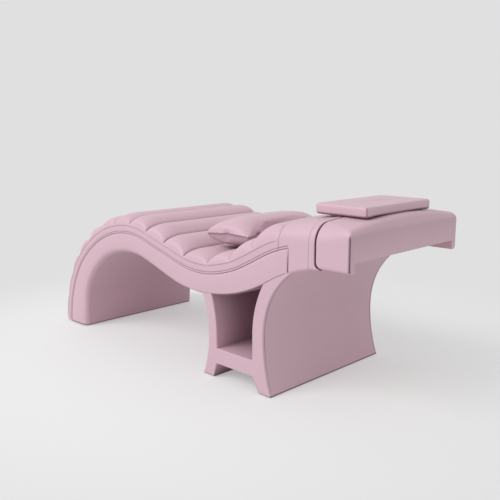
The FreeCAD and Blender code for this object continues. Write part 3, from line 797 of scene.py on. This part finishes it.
def fascia(side, label):
    """Padded side of the bed whose lower edge rounds under to the belly."""
    tail = np.array([0.0004, 0.0012, 0.0022, 0.0036, 0.0055, 0.009])
    t = crowd(np.linspace(0.0, 1.0, SIDE_ROWS), tail, 1 - tail)[:, None]
    foot, end = DECK.rise(FLOOR_GAP), DECK.reach(FASCIA_X - FIT, stray(DECK.reach(FASCIA_X)))
    deck_s = blend(foot, end, t)
    under_s = blend(UNDER.rise(FLOOR_GAP), UNDER.reach(FASCIA_X - FIT), t)
    radius = side_round(UNDER.point(under_s)[0])

    top_off = np.array([0.0, 0.0, 0.0004, 0.0014, 0.0030])
    top_in = np.array([HALF - INNER, 0.006, 0.0028, 0.0010, 0.0])
    # Shade painted along the seam at the top.
    top_dark = np.array([1.0, 1.0, 0.55, 0.2, 0.0])
    x, z = DECK.point(deck_s, stray(deck_s) - top_off)
    strips = [stack(x, HALF - top_in, z)]
    low_x, low_z = UNDER.point(under_s, radius)
    flat = np.linspace(0.0, 1.0, 9)[1:-1]
    strips.append(stack(blend(x[:, -1:], low_x, flat), HALF + SIDE_BULGE * np.sin(np.pi * flat),
                        blend(z[:, -1:], low_z, flat)))
    turn = quarter_turn(10)
    round_x, z = UNDER.point(under_s, radius * (1 - np.sin(turn)))
    strips.append(stack(round_x, HALF - radius * (1 - np.cos(turn)), z))
    x, z = UNDER.point(under_s, HIDDEN_TUCK)
    hidden = [stack(x, y, z) for y in (HALF - radius - HIDDEN_TUCK, INNER)]
    points = np.concatenate(strips + hidden, axis=1)
    to_end = (1 - t) * (end - foot)
    curl = SEAM_CURL * dip(to_end, SEAM_CURL_WIDTH)
    points[..., 1] = side * np.maximum(points[..., 1] - curl, INNER)

    # Painted shade along the top seam, at the end by the shoulder and on the lower edge's rounding above the
    # pedestal; the hem adds its own.
    dark = np.zeros(points.shape[:2])
    dark[:, :len(top_dark)] = top_dark
    lower = slice(-len(hidden) - len(turn), -len(hidden))
    saddle = within(round_x, SADDLE_FROM_X, SADDLE_TO_X, SADDLE_FADE)
    dark[:, lower] = SADDLE_DARK * saddle * smooth((turn - SADDLE_TURN) / SADDLE_TURN)
    dark = darkest(dark, SEAM_FAINT * dip(to_end, SEAM_LINE), hem_and_contact_shade(t * (end - foot)))
    obj = skin(f"side_{label}", points, dark)
    dress(obj, f"fascia_{label}", fill=0.85)


def belly():
    """Smooth underside between the rounded lower edges of the sides."""
    foot = UNDER.rise(FLOOR_GAP)
    up = np.array([0.0, 0.002, 0.003, 0.0045, 0.006, 0.008])
    s = crowd(np.linspace(foot, UNDER.reach(SHOULDER_X), SIDE_ROWS), foot + up)[:, None]
    wide = HALF - side_round(UNDER.point(s)[0])
    lower = joined([-1.0, -0.998], np.linspace(-0.99, 0.99, 16), [0.998, 1.0])
    upper = np.array([0.998, 0.3, -0.3, -0.998])
    strips = []
    for y, off in ((lower, 0.0), (upper, BELLY_THICK)):
        x, z = UNDER.point(s, off)
        strips.append(stack(x, wide * y, z))
    obj = skin("belly_cover", np.concatenate(strips, axis=1), hem_and_contact_shade(s - foot))
    dress(obj, "belly_panel", fill=0.9, material=LINING, slot="underside_leatherette")


# Shoulder and head
def hood(x, top, side, radius, low, low_round, level, inner, tuck=0.0, fall=TOP_CROWN):
    """Rows of half outlines with a crowned top, a rounded shoulder and a rounded lower edge.

    Gives the distances from the middle and the heights. The sizes may be one number or one for each x, but
    inner and tuck are one number. level is a height on the side that gets a row of points of its own, tuck
    is how far the hidden lower strip lies above the lower edge and fall is how much lower the top is at the
    sides.
    """
    rows = len(x)
    top, side, radius, low, low_round, level, fall = (
        np.broadcast_to(v, (rows,))[:, None] for v in (top, side, radius, low, low_round, level, fall))
    flat = hood_flat(side, radius)
    spring = hood_spring(top, radius, fall)
    bottom = low + low_round
    high = spring + radius * math.sin(HOOD_PART)
    near = level + joined([-0.0025, -0.0016, -0.0008, 0.0], STITCH_UP + np.linspace(-0.003, 0.003, 7))
    below, above = np.linspace(0.0, 1.0, 10)[1:-1], np.linspace(0.0, 1.0, 16)[1:]
    heights = joined(blend(bottom, near[:, :1], below), near, blend(near[:, -1:], high, above))
    heel = quarter_turn(7)
    late = np.linspace(HOOD_PART, SHOULDER_SWEEP, 6)[1:]
    centre = flat * np.linspace(1.0, 0.0, 18)[1:]
    d = joined(np.full((rows, 1), inner), side - low_round - tuck,
               side - low_round + low_round * np.sin(heel), hood_corner(top, side, radius, heights, fall),
               side - radius * (1 - np.cos(late)), centre)
    z = joined(low + tuck, low + tuck, bottom - low_round * np.cos(heel), heights,
               spring + radius * np.sin(late), crown(top, centre, flat, fall))
    return d, z


def both_sides(half, mirrored, inside):
    """Rows of values round a closed hood, from those of a half outline, its mirror and the points inside."""
    return joined(half, mirrored[:, -2::-1], np.broadcast_to(inside, (len(half), 3)))


def hood_points(x, d, z, ceiling, inner):
    """Closed loops from the half outlines of a hood."""
    return stack(x[:, None], both_sides(-d, d, [inner, 0.0, -inner]), both_sides(z, z, ceiling[:, None]))


def groove_dark(distance):
    """How much shade is painted on a cover at a distance from the groove."""
    return GROOVE_DARK * smooth((GROOVE_LINE - distance) / GROOVE_LINE)


def shoulder():
    """Plain padded block between the last puff and the groove."""
    seam_x = SHOULDER_X - SHOULDER_SEAM_FROM_END
    around = np.array([0.0, 0.0008, 0.0016, 0.0026, 0.004, 0.006])
    x = crowd(np.linspace(QUILT_X, SHOULDER_X - GROOVE_ROUND, 26), QUILT_X + around, FASCIA_X - around,
              FASCIA_X + around, seam_x - around, seam_x + around,
              SHOULDER_X - GROOVE_ROUND * (1 - np.sin(quarter_turn(9))))
    run, to_end = x - QUILT_X, SHOULDER_X - x
    climb = part_way(run, SEAM_RUN, SHOULDER_X - QUILT_X)
    groove = quarter(GROOVE_ROUND, to_end)
    line = SHOULDER_SEAM_DEPTH * dip(x - seam_x, SHOULDER_SEAM_WIDTH)
    line -= SHOULDER_ROLL * np.sin(np.pi * part_way(x, seam_x, SHOULDER_X))
    top = HEAD_TOP - SHOULDER_RISE * (1 - climb) - SEAM_DIP * (1 - smooth(run / SEAM_RUN))
    top = top - groove - line - CREASE_DEPTH * dip(run, CREASE_WIDTH)
    side = HALF - groove * GROOVE_SIDE_ROUND / GROOVE_ROUND - line
    radius = blend(SHOULDER_START_RADIUS, SHOULDER_RADIUS, smooth(run / (x[-1] - x[0])))
    deck = seam_height(x)
    inner = INNER - SHOULDER_TUCK
    d, z = hood(x, top, side, radius, UNDER.height(x), SEAT_ROUND, deck, inner, HIDDEN_TUCK)

    # Below the band it goes in behind the side's cover.
    from_side, up = (x - FASCIA_X)[:, None], z - deck[:, None]
    under_seam = smooth(-up / UNDER_SEAM_FADE)
    behind = smooth((BEHIND_PAST - from_side) / BEHIND_FADE)
    curl = SEAM_CURL * dip(from_side, SEAM_CURL_WIDTH)
    tucked = np.maximum(d - under_seam * np.maximum(curl, BEHIND_DEPTH * behind), inner)
    stitch = behind * dip(up - STITCH_UP, SHOULDER_STITCH_WIDTH)
    d = np.where(up < 0.0, tucked, d - STITCH_SINK * stitch)
    # Painted shade along the line where the shoulder starts, its seam, the groove, the seam under the band
    # and the stitched line.
    lines = darkest(START_DARK * dip(run, START_LINE), SEAM_FAINT * dip(x - seam_x, SHOULDER_SEAM_LINE),
                    groove_dark(to_end))
    dark = darkest(lines[:, None], SEAM_FAINT * under_seam * dip(from_side, SEAM_LINE),
                   SEAM_DARK * behind * dip(up, SEAM_LINE), SEAM_DARK * stitch)
    points = hood_points(x, d, z, DECK.height(x) + FIT, inner)
    follow = smooth((points[..., 0] - SHOULDER_X + LIP_CORNER) / LIP_CORNER)
    points[..., 0] += follow * quarter(LIP_CORNER, points[..., 2] - LIP_Z)
    obj = skin("shoulder_cover", points, both_sides(dark, dark, 1.0))
    dress(obj, "shoulder_wrap", fill=0.9)


def head():
    """Plain padded head with lips at both sides, a soft end and a tight seam at its two upright corners."""
    turn = quarter_turn(11)
    slit = SLIT_FROM_END + np.linspace(-1.0, 1.0, 9) * SLIT_FROM_END
    x = crowd(np.linspace(HEAD_X, END_X - END_ROUND, 14), HEAD_X + LIP_CORNER * (1 - np.cos(turn)),
              HEAD_X + GROOVE_ROUND * (1 - np.sin(turn)), END_X - END_ROUND * (1 - np.sin(turn)),
              END_X - slit, [WRAP_X - WRAP_STEP, WRAP_X])
    from_start, to_end = x - HEAD_X, END_X - x
    groove, end = quarter(GROOVE_ROUND, from_start), quarter(END_ROUND, to_end)
    side = HALF - groove * GROOVE_SIDE_ROUND / GROOVE_ROUND - quarter(END_SIDE_ROUND, to_end)
    low = LIP_Z + quarter(LIP_CORNER, from_start)
    along = smooth(from_start / (END_X - HEAD_X))
    radius = np.maximum(blend(SHOULDER_RADIUS, END_RADIUS, along) - end, END_RADIUS_LEAST)
    fall = blend(TOP_CROWN, END_CROWN, along)
    d, z = hood(x, HEAD_TOP - groove - end, side, radius, low, LIP_ROUND, HEAD_FLOOR, INNER, fall=fall)
    upright = z > low[:, None] + LIP_ROUND / 3
    cut = dip(to_end - SLIT_FROM_END, SLIT_WIDTH)[:, None] * smooth((SLIT_TOP - z) / SLIT_FADE)
    cut = np.where(upright, cut, 0.0)
    # Shade is painted inside the slits at the upright corners and in the groove.
    dark = np.maximum(SLIT_DARK * cut, groove_dark(from_start)[:, None])
    ceiling = np.where(x < WRAP_X - WRAP_STEP / 2, HEAD_DECK + FIT, HEAD_FLOOR)
    points = hood_points(x, d - SLIT_DEPTH * cut, z, ceiling, INNER)
    obj = skin("head_cover", points, both_sides(dark, dark, 0.0))
    dress(obj, "head_wrap", "head_end_panel", fill=0.9)


# Pedestal
class Flare:
    """Hourglass panel of the pedestal: an arc above the waist and an arc below it.

    waist is its X, drop is how far it lies below the underside, and upper and lower are the arcs' radii.
    fillet is how far the outer face flares out further at its top, the rise at which that starts and its run.
    """

    def __init__(self, waist, drop, side, upper, lower, fillet, thick, toe):
        self.waist, self.side, self.thick, self.toe = waist, side, thick, toe
        self.upper, self.lower, self.fillet = upper, lower, fillet
        self.height = float(UNDER.height(waist)) - drop

    def outer(self, z, inset=0.0):
        radius = np.where(z < self.height, self.lower, self.upper)
        far, start, run = self.fillet
        far = far * np.clip((z - self.height - start) / run, 0.0, None) ** 2
        arc = np.sqrt((radius + inset) ** 2 - (z - self.height) ** 2)
        return self.waist + self.side * (far + radius - arc)

    def inner(self, z, inset=0.0):
        rise = np.clip(z - self.height, 0.0, None)
        radius = self.upper + self.thick - inset
        return self.waist + self.side * (self.upper - np.sqrt(radius ** 2 - rise ** 2))

    def meet(self, face, inset):
        """Height at which a face goes into the underside."""
        low, high = self.height, self.height + MEET_REACH * self.upper
        for _ in range(HALVINGS):
            middle = (low + high) / 2
            clear = middle < UNDER.height(float(face(middle, inset))) + PEDESTAL_SINK
            low, high = (middle, high) if clear else (low, middle)
        return low

    def outline(self, inset, line):
        """X and Z up the outer face, along the underside and down the inner face to the shelf.

        line is how deep a sewn line lies in the outer face.
        """
        outer_top, inner_top = self.meet(self.outer, inset), self.meet(self.inner, inset)
        floor = PEDESTAL_FLOOR + inset
        up = joined(floor + HEM_LINE * np.linspace(0.0, 1.0, OUTER_HEM_STEPS, endpoint=False),
                    np.linspace(floor + HEM_LINE, outer_top, OUTER_STEPS - OUTER_HEM_STEPS))
        along = np.linspace(self.outer(outer_top, inset), self.inner(inner_top, inset), 8)[1:-1]
        down = np.append(np.linspace(inner_top, self.height, 22), SHELF_TOP - inset)
        x = joined(self.outer(up, inset + line), along, self.inner(down, inset))
        return np.stack([x, joined(up, UNDER.height(along) + PEDESTAL_SINK, down)], axis=1)

    def heel(self, inset):
        """X and Z of the shelf's lower edge and of the end of the toe."""
        knee, floor = SHELF_BOTTOM + inset, PEDESTAL_FLOOR + inset
        toe = self.outer(floor) - self.side * (self.toe - inset)
        return np.array([(self.inner(knee, inset), knee), (toe, floor)])


def pedestal_threads(flares):
    """Stitches up both sides of the outer faces."""
    paths = []
    for flare in flares:
        z = np.linspace(PEDESTAL_FLOOR + 2 * HEM_LINE, flare.meet(flare.outer, 0.0) - HEM_LINE, OUTER_STEPS)
        out = np.tile([float(flare.side), 0.0, 0.0], (OUTER_STEPS, 1))
        for y in (PEDESTAL_STITCH - PEDESTAL_HALF, PEDESTAL_HALF - PEDESTAL_STITCH):
            paths.append((stack(flare.outer(z, PEDESTAL_THREAD_INSET), y, z), out))
    stitches("pedestal_stitches", paths)


def pedestal():
    """Leather-covered base: two hourglass panels joined by the shelf of the niche."""
    foot = Flare(CREST_X + 0.5465, drop=0.163, side=-1, upper=0.450, lower=0.450,
                 fillet=(0.013, 0.130, 0.040), thick=0.047, toe=0.065)
    head_side = Flare(CREST_X + 0.8465, drop=0.198, side=1, upper=0.350, lower=0.640,
                      fillet=(0.010, 0.130, 0.120), thick=0.0555, toe=0.0605)
    around = np.array([-0.003, -0.0016, -0.0008, 0.0, 0.0008, 0.0016, 0.003])
    deep = crowd(PEDESTAL_EDGE * (1 - np.cos(quarter_turn(7))), PEDESTAL_STITCH + around,
                 np.linspace(NICHE_FROM, NICHE_SHADE_DEEP, 6))
    deep = joined(deep, 2 * PEDESTAL_HALF - deep[::-1])
    from_edge = np.minimum(deep, 2 * PEDESTAL_HALF - deep)
    stitch = dip(from_edge - PEDESTAL_STITCH, PEDESTAL_STITCH_WIDTH)
    points = []
    for y, inset, line in zip(deep - PEDESTAL_HALF, quarter(PEDESTAL_EDGE, from_edge),
                              PEDESTAL_STITCH_DEPTH * stitch):
        loop = np.concatenate([foot.outline(inset, line), head_side.outline(inset, line)[::-1],
                               head_side.heel(inset)[::-1], foot.heel(inset)])
        points.append(stack(loop[:, 0], y, loop[:, 1]))
    points = np.array(points)

    count = points.shape[1] - HEEL_POINTS
    place = np.arange(points.shape[1])
    outer = (place < OUTER_STEPS) | (place >= count - OUTER_STEPS) & (place < count)
    # Painted shade along the stitched lines and on the niche's inner faces, growing deeper in; the hem adds
    # its own at the floor.
    lined = stitch[:, None] * smooth(part_way(points[..., 2], STITCH_FADE_FROM, STITCH_FADE_TO))
    shade = NICHE_SHADE * smooth(part_way(from_edge, PEDESTAL_EDGE, NICHE_SHADE_DEEP))[:, None]
    dark = np.where(outer, PEDESTAL_STITCH_DARK * lined, np.where(place < count, shade, 0.0))
    floor_line = hem_and_contact_shade(points[..., 2] - PEDESTAL_FLOOR)
    # The flat faces at both sides stay free of the hem and its painted contact shadow.
    floor_line[[0, -1]] = 0.0
    obj = skin("pedestal_cover", points, np.maximum(dark, floor_line))
    dress(obj, "pedestal_foot_panel", "pedestal_head_panel", "towel_shelf", fill=0.9)
    pedestal_threads((foot, head_side))


# Loose pieces
def mesh_points(mesh):
    points = np.empty(len(mesh.vertices) * 3)
    mesh.vertices.foreach_get("co", points)
    return points.reshape(-1, 3)


def set_points(obj, points):
    obj.data.vertices.foreach_set("co", points.reshape(-1))
    obj.data.update()


def inflate(obj, frames, bending, held=()):
    """Blows a closed mesh up with Cloth and gives the points it ends at."""
    cloth = obj.modifiers.new("Cloth", "CLOTH")
    settings = cloth.settings
    settings.quality = 6
    settings.mass = 0.3
    settings.tension_stiffness = settings.compression_stiffness = settings.shear_stiffness = 25.0
    settings.bending_stiffness = bending
    settings.use_pressure = True
    settings.uniform_pressure_force = 4.0
    settings.effector_weights.gravity = 0.0
    if len(held):
        obj.vertex_groups.new(name="held").add(held, 1.0, "REPLACE")
        settings.vertex_group_mass = "held"
    cloth.collision_settings.use_collision = False
    cloth.point_cache.frame_start = 1
    cloth.point_cache.frame_end = frames
    for i in range(1, frames + 1):
        bpy.context.scene.frame_set(i)
    points = mesh_points(obj.evaluated_get(bpy.context.evaluated_depsgraph_get()).to_mesh())
    obj.modifiers.remove(cloth)
    bpy.context.scene.frame_set(1)
    return points


def sewn_case(name, cut, steps, start):
    """Two sheets sewn together all round, a little apart in the middle."""
    u, v = np.meshgrid(*(np.linspace(-1, 1, count + 1) for count in steps), indexing="ij")
    rim = np.maximum(np.abs(u), np.abs(v)) == 1.0
    apart = start * (1 - u ** 2) * (1 - v ** 2)
    upper, lower = (stack(u * cut[0] / 2, v * cut[1] / 2, z) for z in (apart, -apart))
    index = np.arange(u.size).reshape(u.shape)
    below = index.copy()
    below[~rim] = u.size + np.arange(np.count_nonzero(~rim))
    verts = np.concatenate([upper.reshape(-1, 3), lower[~rim]])
    faces = []
    for sheet, way in ((index, 1), (below, -1)):
        quads = np.stack([sheet[:-1, :-1], sheet[1:, :-1], sheet[1:, 1:], sheet[:-1, 1:]], axis=-1)
        faces += quads.reshape(-1, 4)[:, ::way].tolist()
    mesh = mesh_of(name, verts, faces)
    mesh.shade_smooth()
    # Painted shade: a dark line along the seam and a darker lower panel. Less than nothing beside the seam
    # keeps its dark line thin.
    painted_shade = np.full(len(verts), PILLOW_SEAM_NEXT)
    painted_shade[u.size:] = PILLOW_UNDER_SHADE
    painted_shade[index[rim]] = PILLOW_SEAM
    return piece(name, mesh, painted_shade)


def fitted(points, low, high):
    """Points stretched to fill a box."""
    least, most = points.min(axis=0), points.max(axis=0)
    return low + (points - least) * (high - low) / (most - least)


def plump(points, flat, cut):
    """Points pushed out towards their greatest reach, and eased to an even slope on top of the head side."""
    reach = np.abs(points).max(axis=0)
    across, along = (2 * flat[:, :2] / cut).T
    soft = smooth(part_way(across, PILLOW_SOFT_FROM, PILLOW_SOFT_TO))
    power = blend(PILLOW_PLUMP, PILLOW_SOFT, soft[:, None])
    shape = np.sign(points) * reach * (np.abs(points) / reach) ** power
    even = reach[2] * (1 - across ** 2) ** PILLOW_SIDE_SLOPE * (1 - along ** 4) ** PILLOW_END_SLOPE
    shape[:, 2] += (even - shape[:, 2]) * soft * (flat[:, 2] > 0.0)
    return shape


def gathers(flat, cut):
    """Height of the uneven gathers along the seam of a sewn case, by each point's place on the flat cut."""
    to_seam = cut / 2 - np.abs(flat[:, :2])
    along = np.where(to_seam[:, 0] < to_seam[:, 1], flat[:, 1], flat[:, 0])
    sway = np.sin(2 * np.pi * along / GATHER_SWAY + GATHER_START)
    wave = np.sin(2 * np.pi * along / GATHER_PITCH + GATHER_WANDER * sway)
    return GATHER_HEIGHT * wave * blend(sway, 1.0, GATHER_EVEN) * np.exp(-to_seam.min(axis=1) / GATHER_REACH)


def lumbar_pillow(bed_top):
    """Stuffed pillow of two sewn panels that rests on the puffs of the seat."""
    low, high = (np.array(corner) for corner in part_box("lumbar_pillow"))
    cut = (high - low)[:2] * PILLOW_CUT
    obj = sewn_case("lumbar_cushion", cut, steps=(48, 96), start=0.015)
    flat = mesh_points(obj.data)
    points = inflate(obj, frames=30, bending=0.6)
    points = fitted(plump(points, flat, cut), low - PILLOW_BELOW, high - PILLOW_ABOVE)
    along = points[:, 0] - (low + high)[0] / 2
    points[:, 2] += np.where(along < 0.0, PILLOW_TILT, PILLOW_HEAD_TILT) * along
    points[:, 2] += gathers(flat, cut) * np.where(flat[:, 2] < 0.0, -1.0, 1.0)
    tree = BVHTree.FromObject(bed_top, bpy.context.evaluated_depsgraph_get())
    for point in points:
        hit = tree.ray_cast(Vector((point[0], point[1], RAY_FROM)), Vector((0, 0, -1)))[0]
        if hit is not None:
            point[2] = max(point[2], hit.z + PILLOW_CLEAR)
    set_points(obj, points)
    finer = obj.modifiers.new("Subdivision", "SUBSURF")
    finer.levels = finer.render_levels = 1
    dress(obj, "lumbar_pillow", fill=0.85, body="lumbar_pillow")


def rounded_ring(half_x, half_y, corner):
    """Closed ring of points round a rectangle with rounded corners, and how far from a corner they are."""
    turn = quarter_turn(9)
    arcs = []
    for i, (x, y) in enumerate(((1, 1), (-1, 1), (-1, -1), (1, -1))):
        angle = turn + i * np.pi / 2
        arcs.append(np.stack([x * (half_x - corner) + corner * np.cos(angle),
                              y * (half_y - corner) + corner * np.sin(angle)], axis=1))
    points, bend = [], []
    for arc, following, steps in zip(arcs, arcs[1:] + arcs[:1], 2 * (PAD_X_STEPS, PAD_Y_STEPS)):
        share = np.linspace(0.0, 1.0, steps)[1:-1, None]
        points += [arc, blend(arc[-1], following[0], share)]
        bend += [np.abs(turn - np.pi / 4) * corner, np.full(len(share), corner)]
    return np.concatenate(points), np.concatenate(bend)


def pad_case(half, thick, face_in):
    """Rings of points from the middle of the pad's lower face to that of its upper face, and their painted
    shade.
    """
    turn = quarter_turn(5)
    edge_in, edge_z = PAD_EDGE * (1 - np.sin(turn)), thick - PAD_EDGE * (1 - np.cos(turn))
    wall = np.linspace(-1.0, 1.0, 7)[1:-1] * (thick - PAD_EDGE)
    insets = joined(face_in, edge_in, np.zeros(len(wall)), edge_in[::-1], face_in[::-1])
    face_z = np.full(len(face_in), thick)
    heights = joined(-face_z, -edge_z, wall, edge_z[::-1], face_z)
    points, dark = [], []
    for inset, z in zip(insets, heights):
        corner = PAD_CORNER if inset < PAD_CORNER else PAD_CORNER / 4
        ring, bend = rounded_ring(half[0] - inset, half[1] - inset, corner)
        points.append(np.column_stack([ring, np.full(len(ring), z)]))
        # Painted shade along the upright corner seams, and painted contact shadow on the lower face and its
        # edge, where the pad rests.
        upright = PAD_CORNER_DARK if inset < PAD_EDGE / 2 else 0.0
        under = smooth((PAD_SHADE - thick - z) / (PAD_SHADE / 2))
        dark.append(np.maximum(upright * dip(bend, PAD_CORNER_LINE), under))
    return np.array(points), np.array(dark)


def head_cushion():
    """Flat boxed pad with crisp sewn edges and soft faces that lies over the crown of the head."""
    low, high = (np.array(corner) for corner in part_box("head_pad"))
    low, high = low + PAD_TRIM, high - PAD_FAR_TRIM
    middle, half = (low + high) / 2, (high - low) / 2
    thick = half[2] - PAD_SINK
    face_in = joined(np.linspace(PAD_MIDDLE * half[0], 2 * PAD_EDGE, 14), [1.5 * PAD_EDGE, 1.15 * PAD_EDGE])
    points, dark = pad_case(half, thick, face_in)
    obj = skin("head_cushion", points, dark)
    for edge in obj.data.edges:
        edge.use_edge_sharp = False
    start = mesh_points(obj.data)
    blown = start
    rim = np.abs(np.abs(start[:, 2]) - thick) < PAD_EDGE
    rim &= (np.abs(start[:, :2]) - half[:2]).max(axis=1) > -2 * PAD_EDGE
    blown = inflate(obj, frames=20, bending=0.8, held=np.flatnonzero(rim).tolist())
    move = blown - start

    # The faces don't slide, and they rise evenly to the middle.
    move[np.abs(start[:, 2]) > thick - NEAR_DOUBLE, :2] = 0.0
    swell, last = move.reshape(points.shape)[:, :, 2], len(face_in)
    swell[-last:] = np.maximum.accumulate(swell[-last:])
    swell[:last] = np.minimum.accumulate(swell[:last][::-1])[::-1]
    far = np.linalg.norm(move, axis=1, keepdims=True)
    shape = start + move * np.minimum(1.0, PAD_SWELL / np.maximum(far, TINY))
    over_end = smooth(part_way(start[:, 0] / half[0], PAD_END_FROM, 1.0))
    droop = np.maximum((shape[:, 1] / half[1]) ** 2, PAD_END_DROOP * over_end)
    shape[:, 2] -= PAD_DROOP * (1 - start[:, 2] / thick) / 2 * droop
    set_points(obj, shape + middle + [0, 0, PAD_LIFT])
    dress(obj, "head_pad", fill=0.9, body="head_pad")


# Carried-over solids
def keep(names, material):
    for name in names:
        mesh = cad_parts[name].data
        mesh.materials.clear()
        mesh.materials.append(material)


# Stage
def grey(value):
    return (value, value, value, 1.0)


def mixed(tree, share, first, second):
    """Shader between two."""
    return node(tree, "MixShader", {"Fac": share, 1: first, 2: second}).outputs[0]


def seen_directly(tree):
    """1 for rays from the camera, off gloss or through glass, which see the backdrop, and 0 for light."""
    path = node(tree, "LightPath").outputs
    share = path["Is Camera Ray"]
    for name in ("Is Glossy Ray", "Is Transmission Ray"):
        share = node(tree, "Math", {0: share, 1: path[name]}, operation="MAXIMUM").outputs[0]
    return share


def backdrop():
    world = bpy.data.worlds.new("studio")
    world.use_nodes = True
    tree = world.node_tree
    tree.nodes.clear()
    shown = node(tree, "Background", {"Color": grey(0.745)}).outputs[0]
    light = node(tree, "Background", {"Color": grey(1.0), "Strength": 0.66}).outputs[0]
    node(tree, "OutputWorld", {"Surface": mixed(tree, seen_directly(tree), light, shown)})
    bpy.context.scene.world = world


def key_lamp():
    lamp = bpy.data.lights.new("key", "AREA")
    lamp.shape = "DISK"
    lamp.size = 5.0
    lamp.energy = 354.0
    key = in_scene("key", lamp)
    key.location = (-2.4, -6.2, 6.0)
    aim = Vector((0.1, 0.0, 0.35)) - key.location
    key.rotation_euler = aim.to_track_quat("-Z", "Y").to_euler()


def floor():
    """Pale floor that takes the shadow and fades out into the backdrop."""
    material, tree, shader, place = surface("studio_floor")
    feed(tree, shader, {"Base Color": grey(0.75), "Roughness": 0.9, "Specular IOR Level": 0.0})
    glow = node(tree, "Emission", {"Color": grey(0.835), "Strength": 1.37}).outputs[0]
    lit = mixed(tree, spread(tree, seen_directly(tree), 0.0, 0.30), shader.outputs[0], glow)
    distance = node(tree, "VectorMath", {0: place}, operation="LENGTH").outputs["Value"]
    fade = node(tree, "MapRange", {"Value": distance, "From Min": 0.8, "From Max": 2.0},
                interpolation_type="SMOOTHSTEP").outputs["Result"]
    clear = node(tree, "BsdfTransparent").outputs[0]
    feed(tree, tree.nodes["Material Output"], {"Surface": mixed(tree, fade, lit, clear)})
    reach = 4.0
    corners = [(reach * x, reach * y, 0.0) for x, y in ((-1, -1), (1, -1), (1, 1), (-1, 1))]
    mesh = mesh_of("studio_floor", corners, [(0, 1, 2, 3)])
    mesh.materials.append(material)
    in_scene("studio_floor", mesh)


def camera():
    lens = bpy.data.cameras.new("camera")
    lens.lens = 46.522
    lens.sensor_width = 36.0
    eye = in_scene("camera", lens)
    eye.location = (2.1110, -2.0042, 0.9761)
    eye.rotation_euler = (math.radians(90 - 10.392), 0.0, math.radians(44.82))
    bpy.context.scene.camera = eye


quilted = quilt()
for side, label in ((-1, "near"), (1, "far")):
    band(side, label)
    fascia(side, label)
belly()
shoulder()
head()
pedestal()
lumbar_pillow(quilted)
head_cushion()

keep(("niche_divider",), PINK)
keep(("centre_rib", "cross_slats", "deck_panel", "head_bottom_board", "head_deck_board", "head_end_rail",
      "head_side_rail_far", "head_side_rail_near", "neck_end_board", "neck_rail", "side_rib_far",
      "side_rib_near", "sole_board"), PLYWOOD)
keep(("head_arms", "head_bolts", "saddle_studs"), STEEL)
keep(("foot_glides", "pedestal_glides"), PLASTIC)

bpy.context.scene.view_settings.view_transform = "Standard"
backdrop()
key_lamp()
floor()
camera()
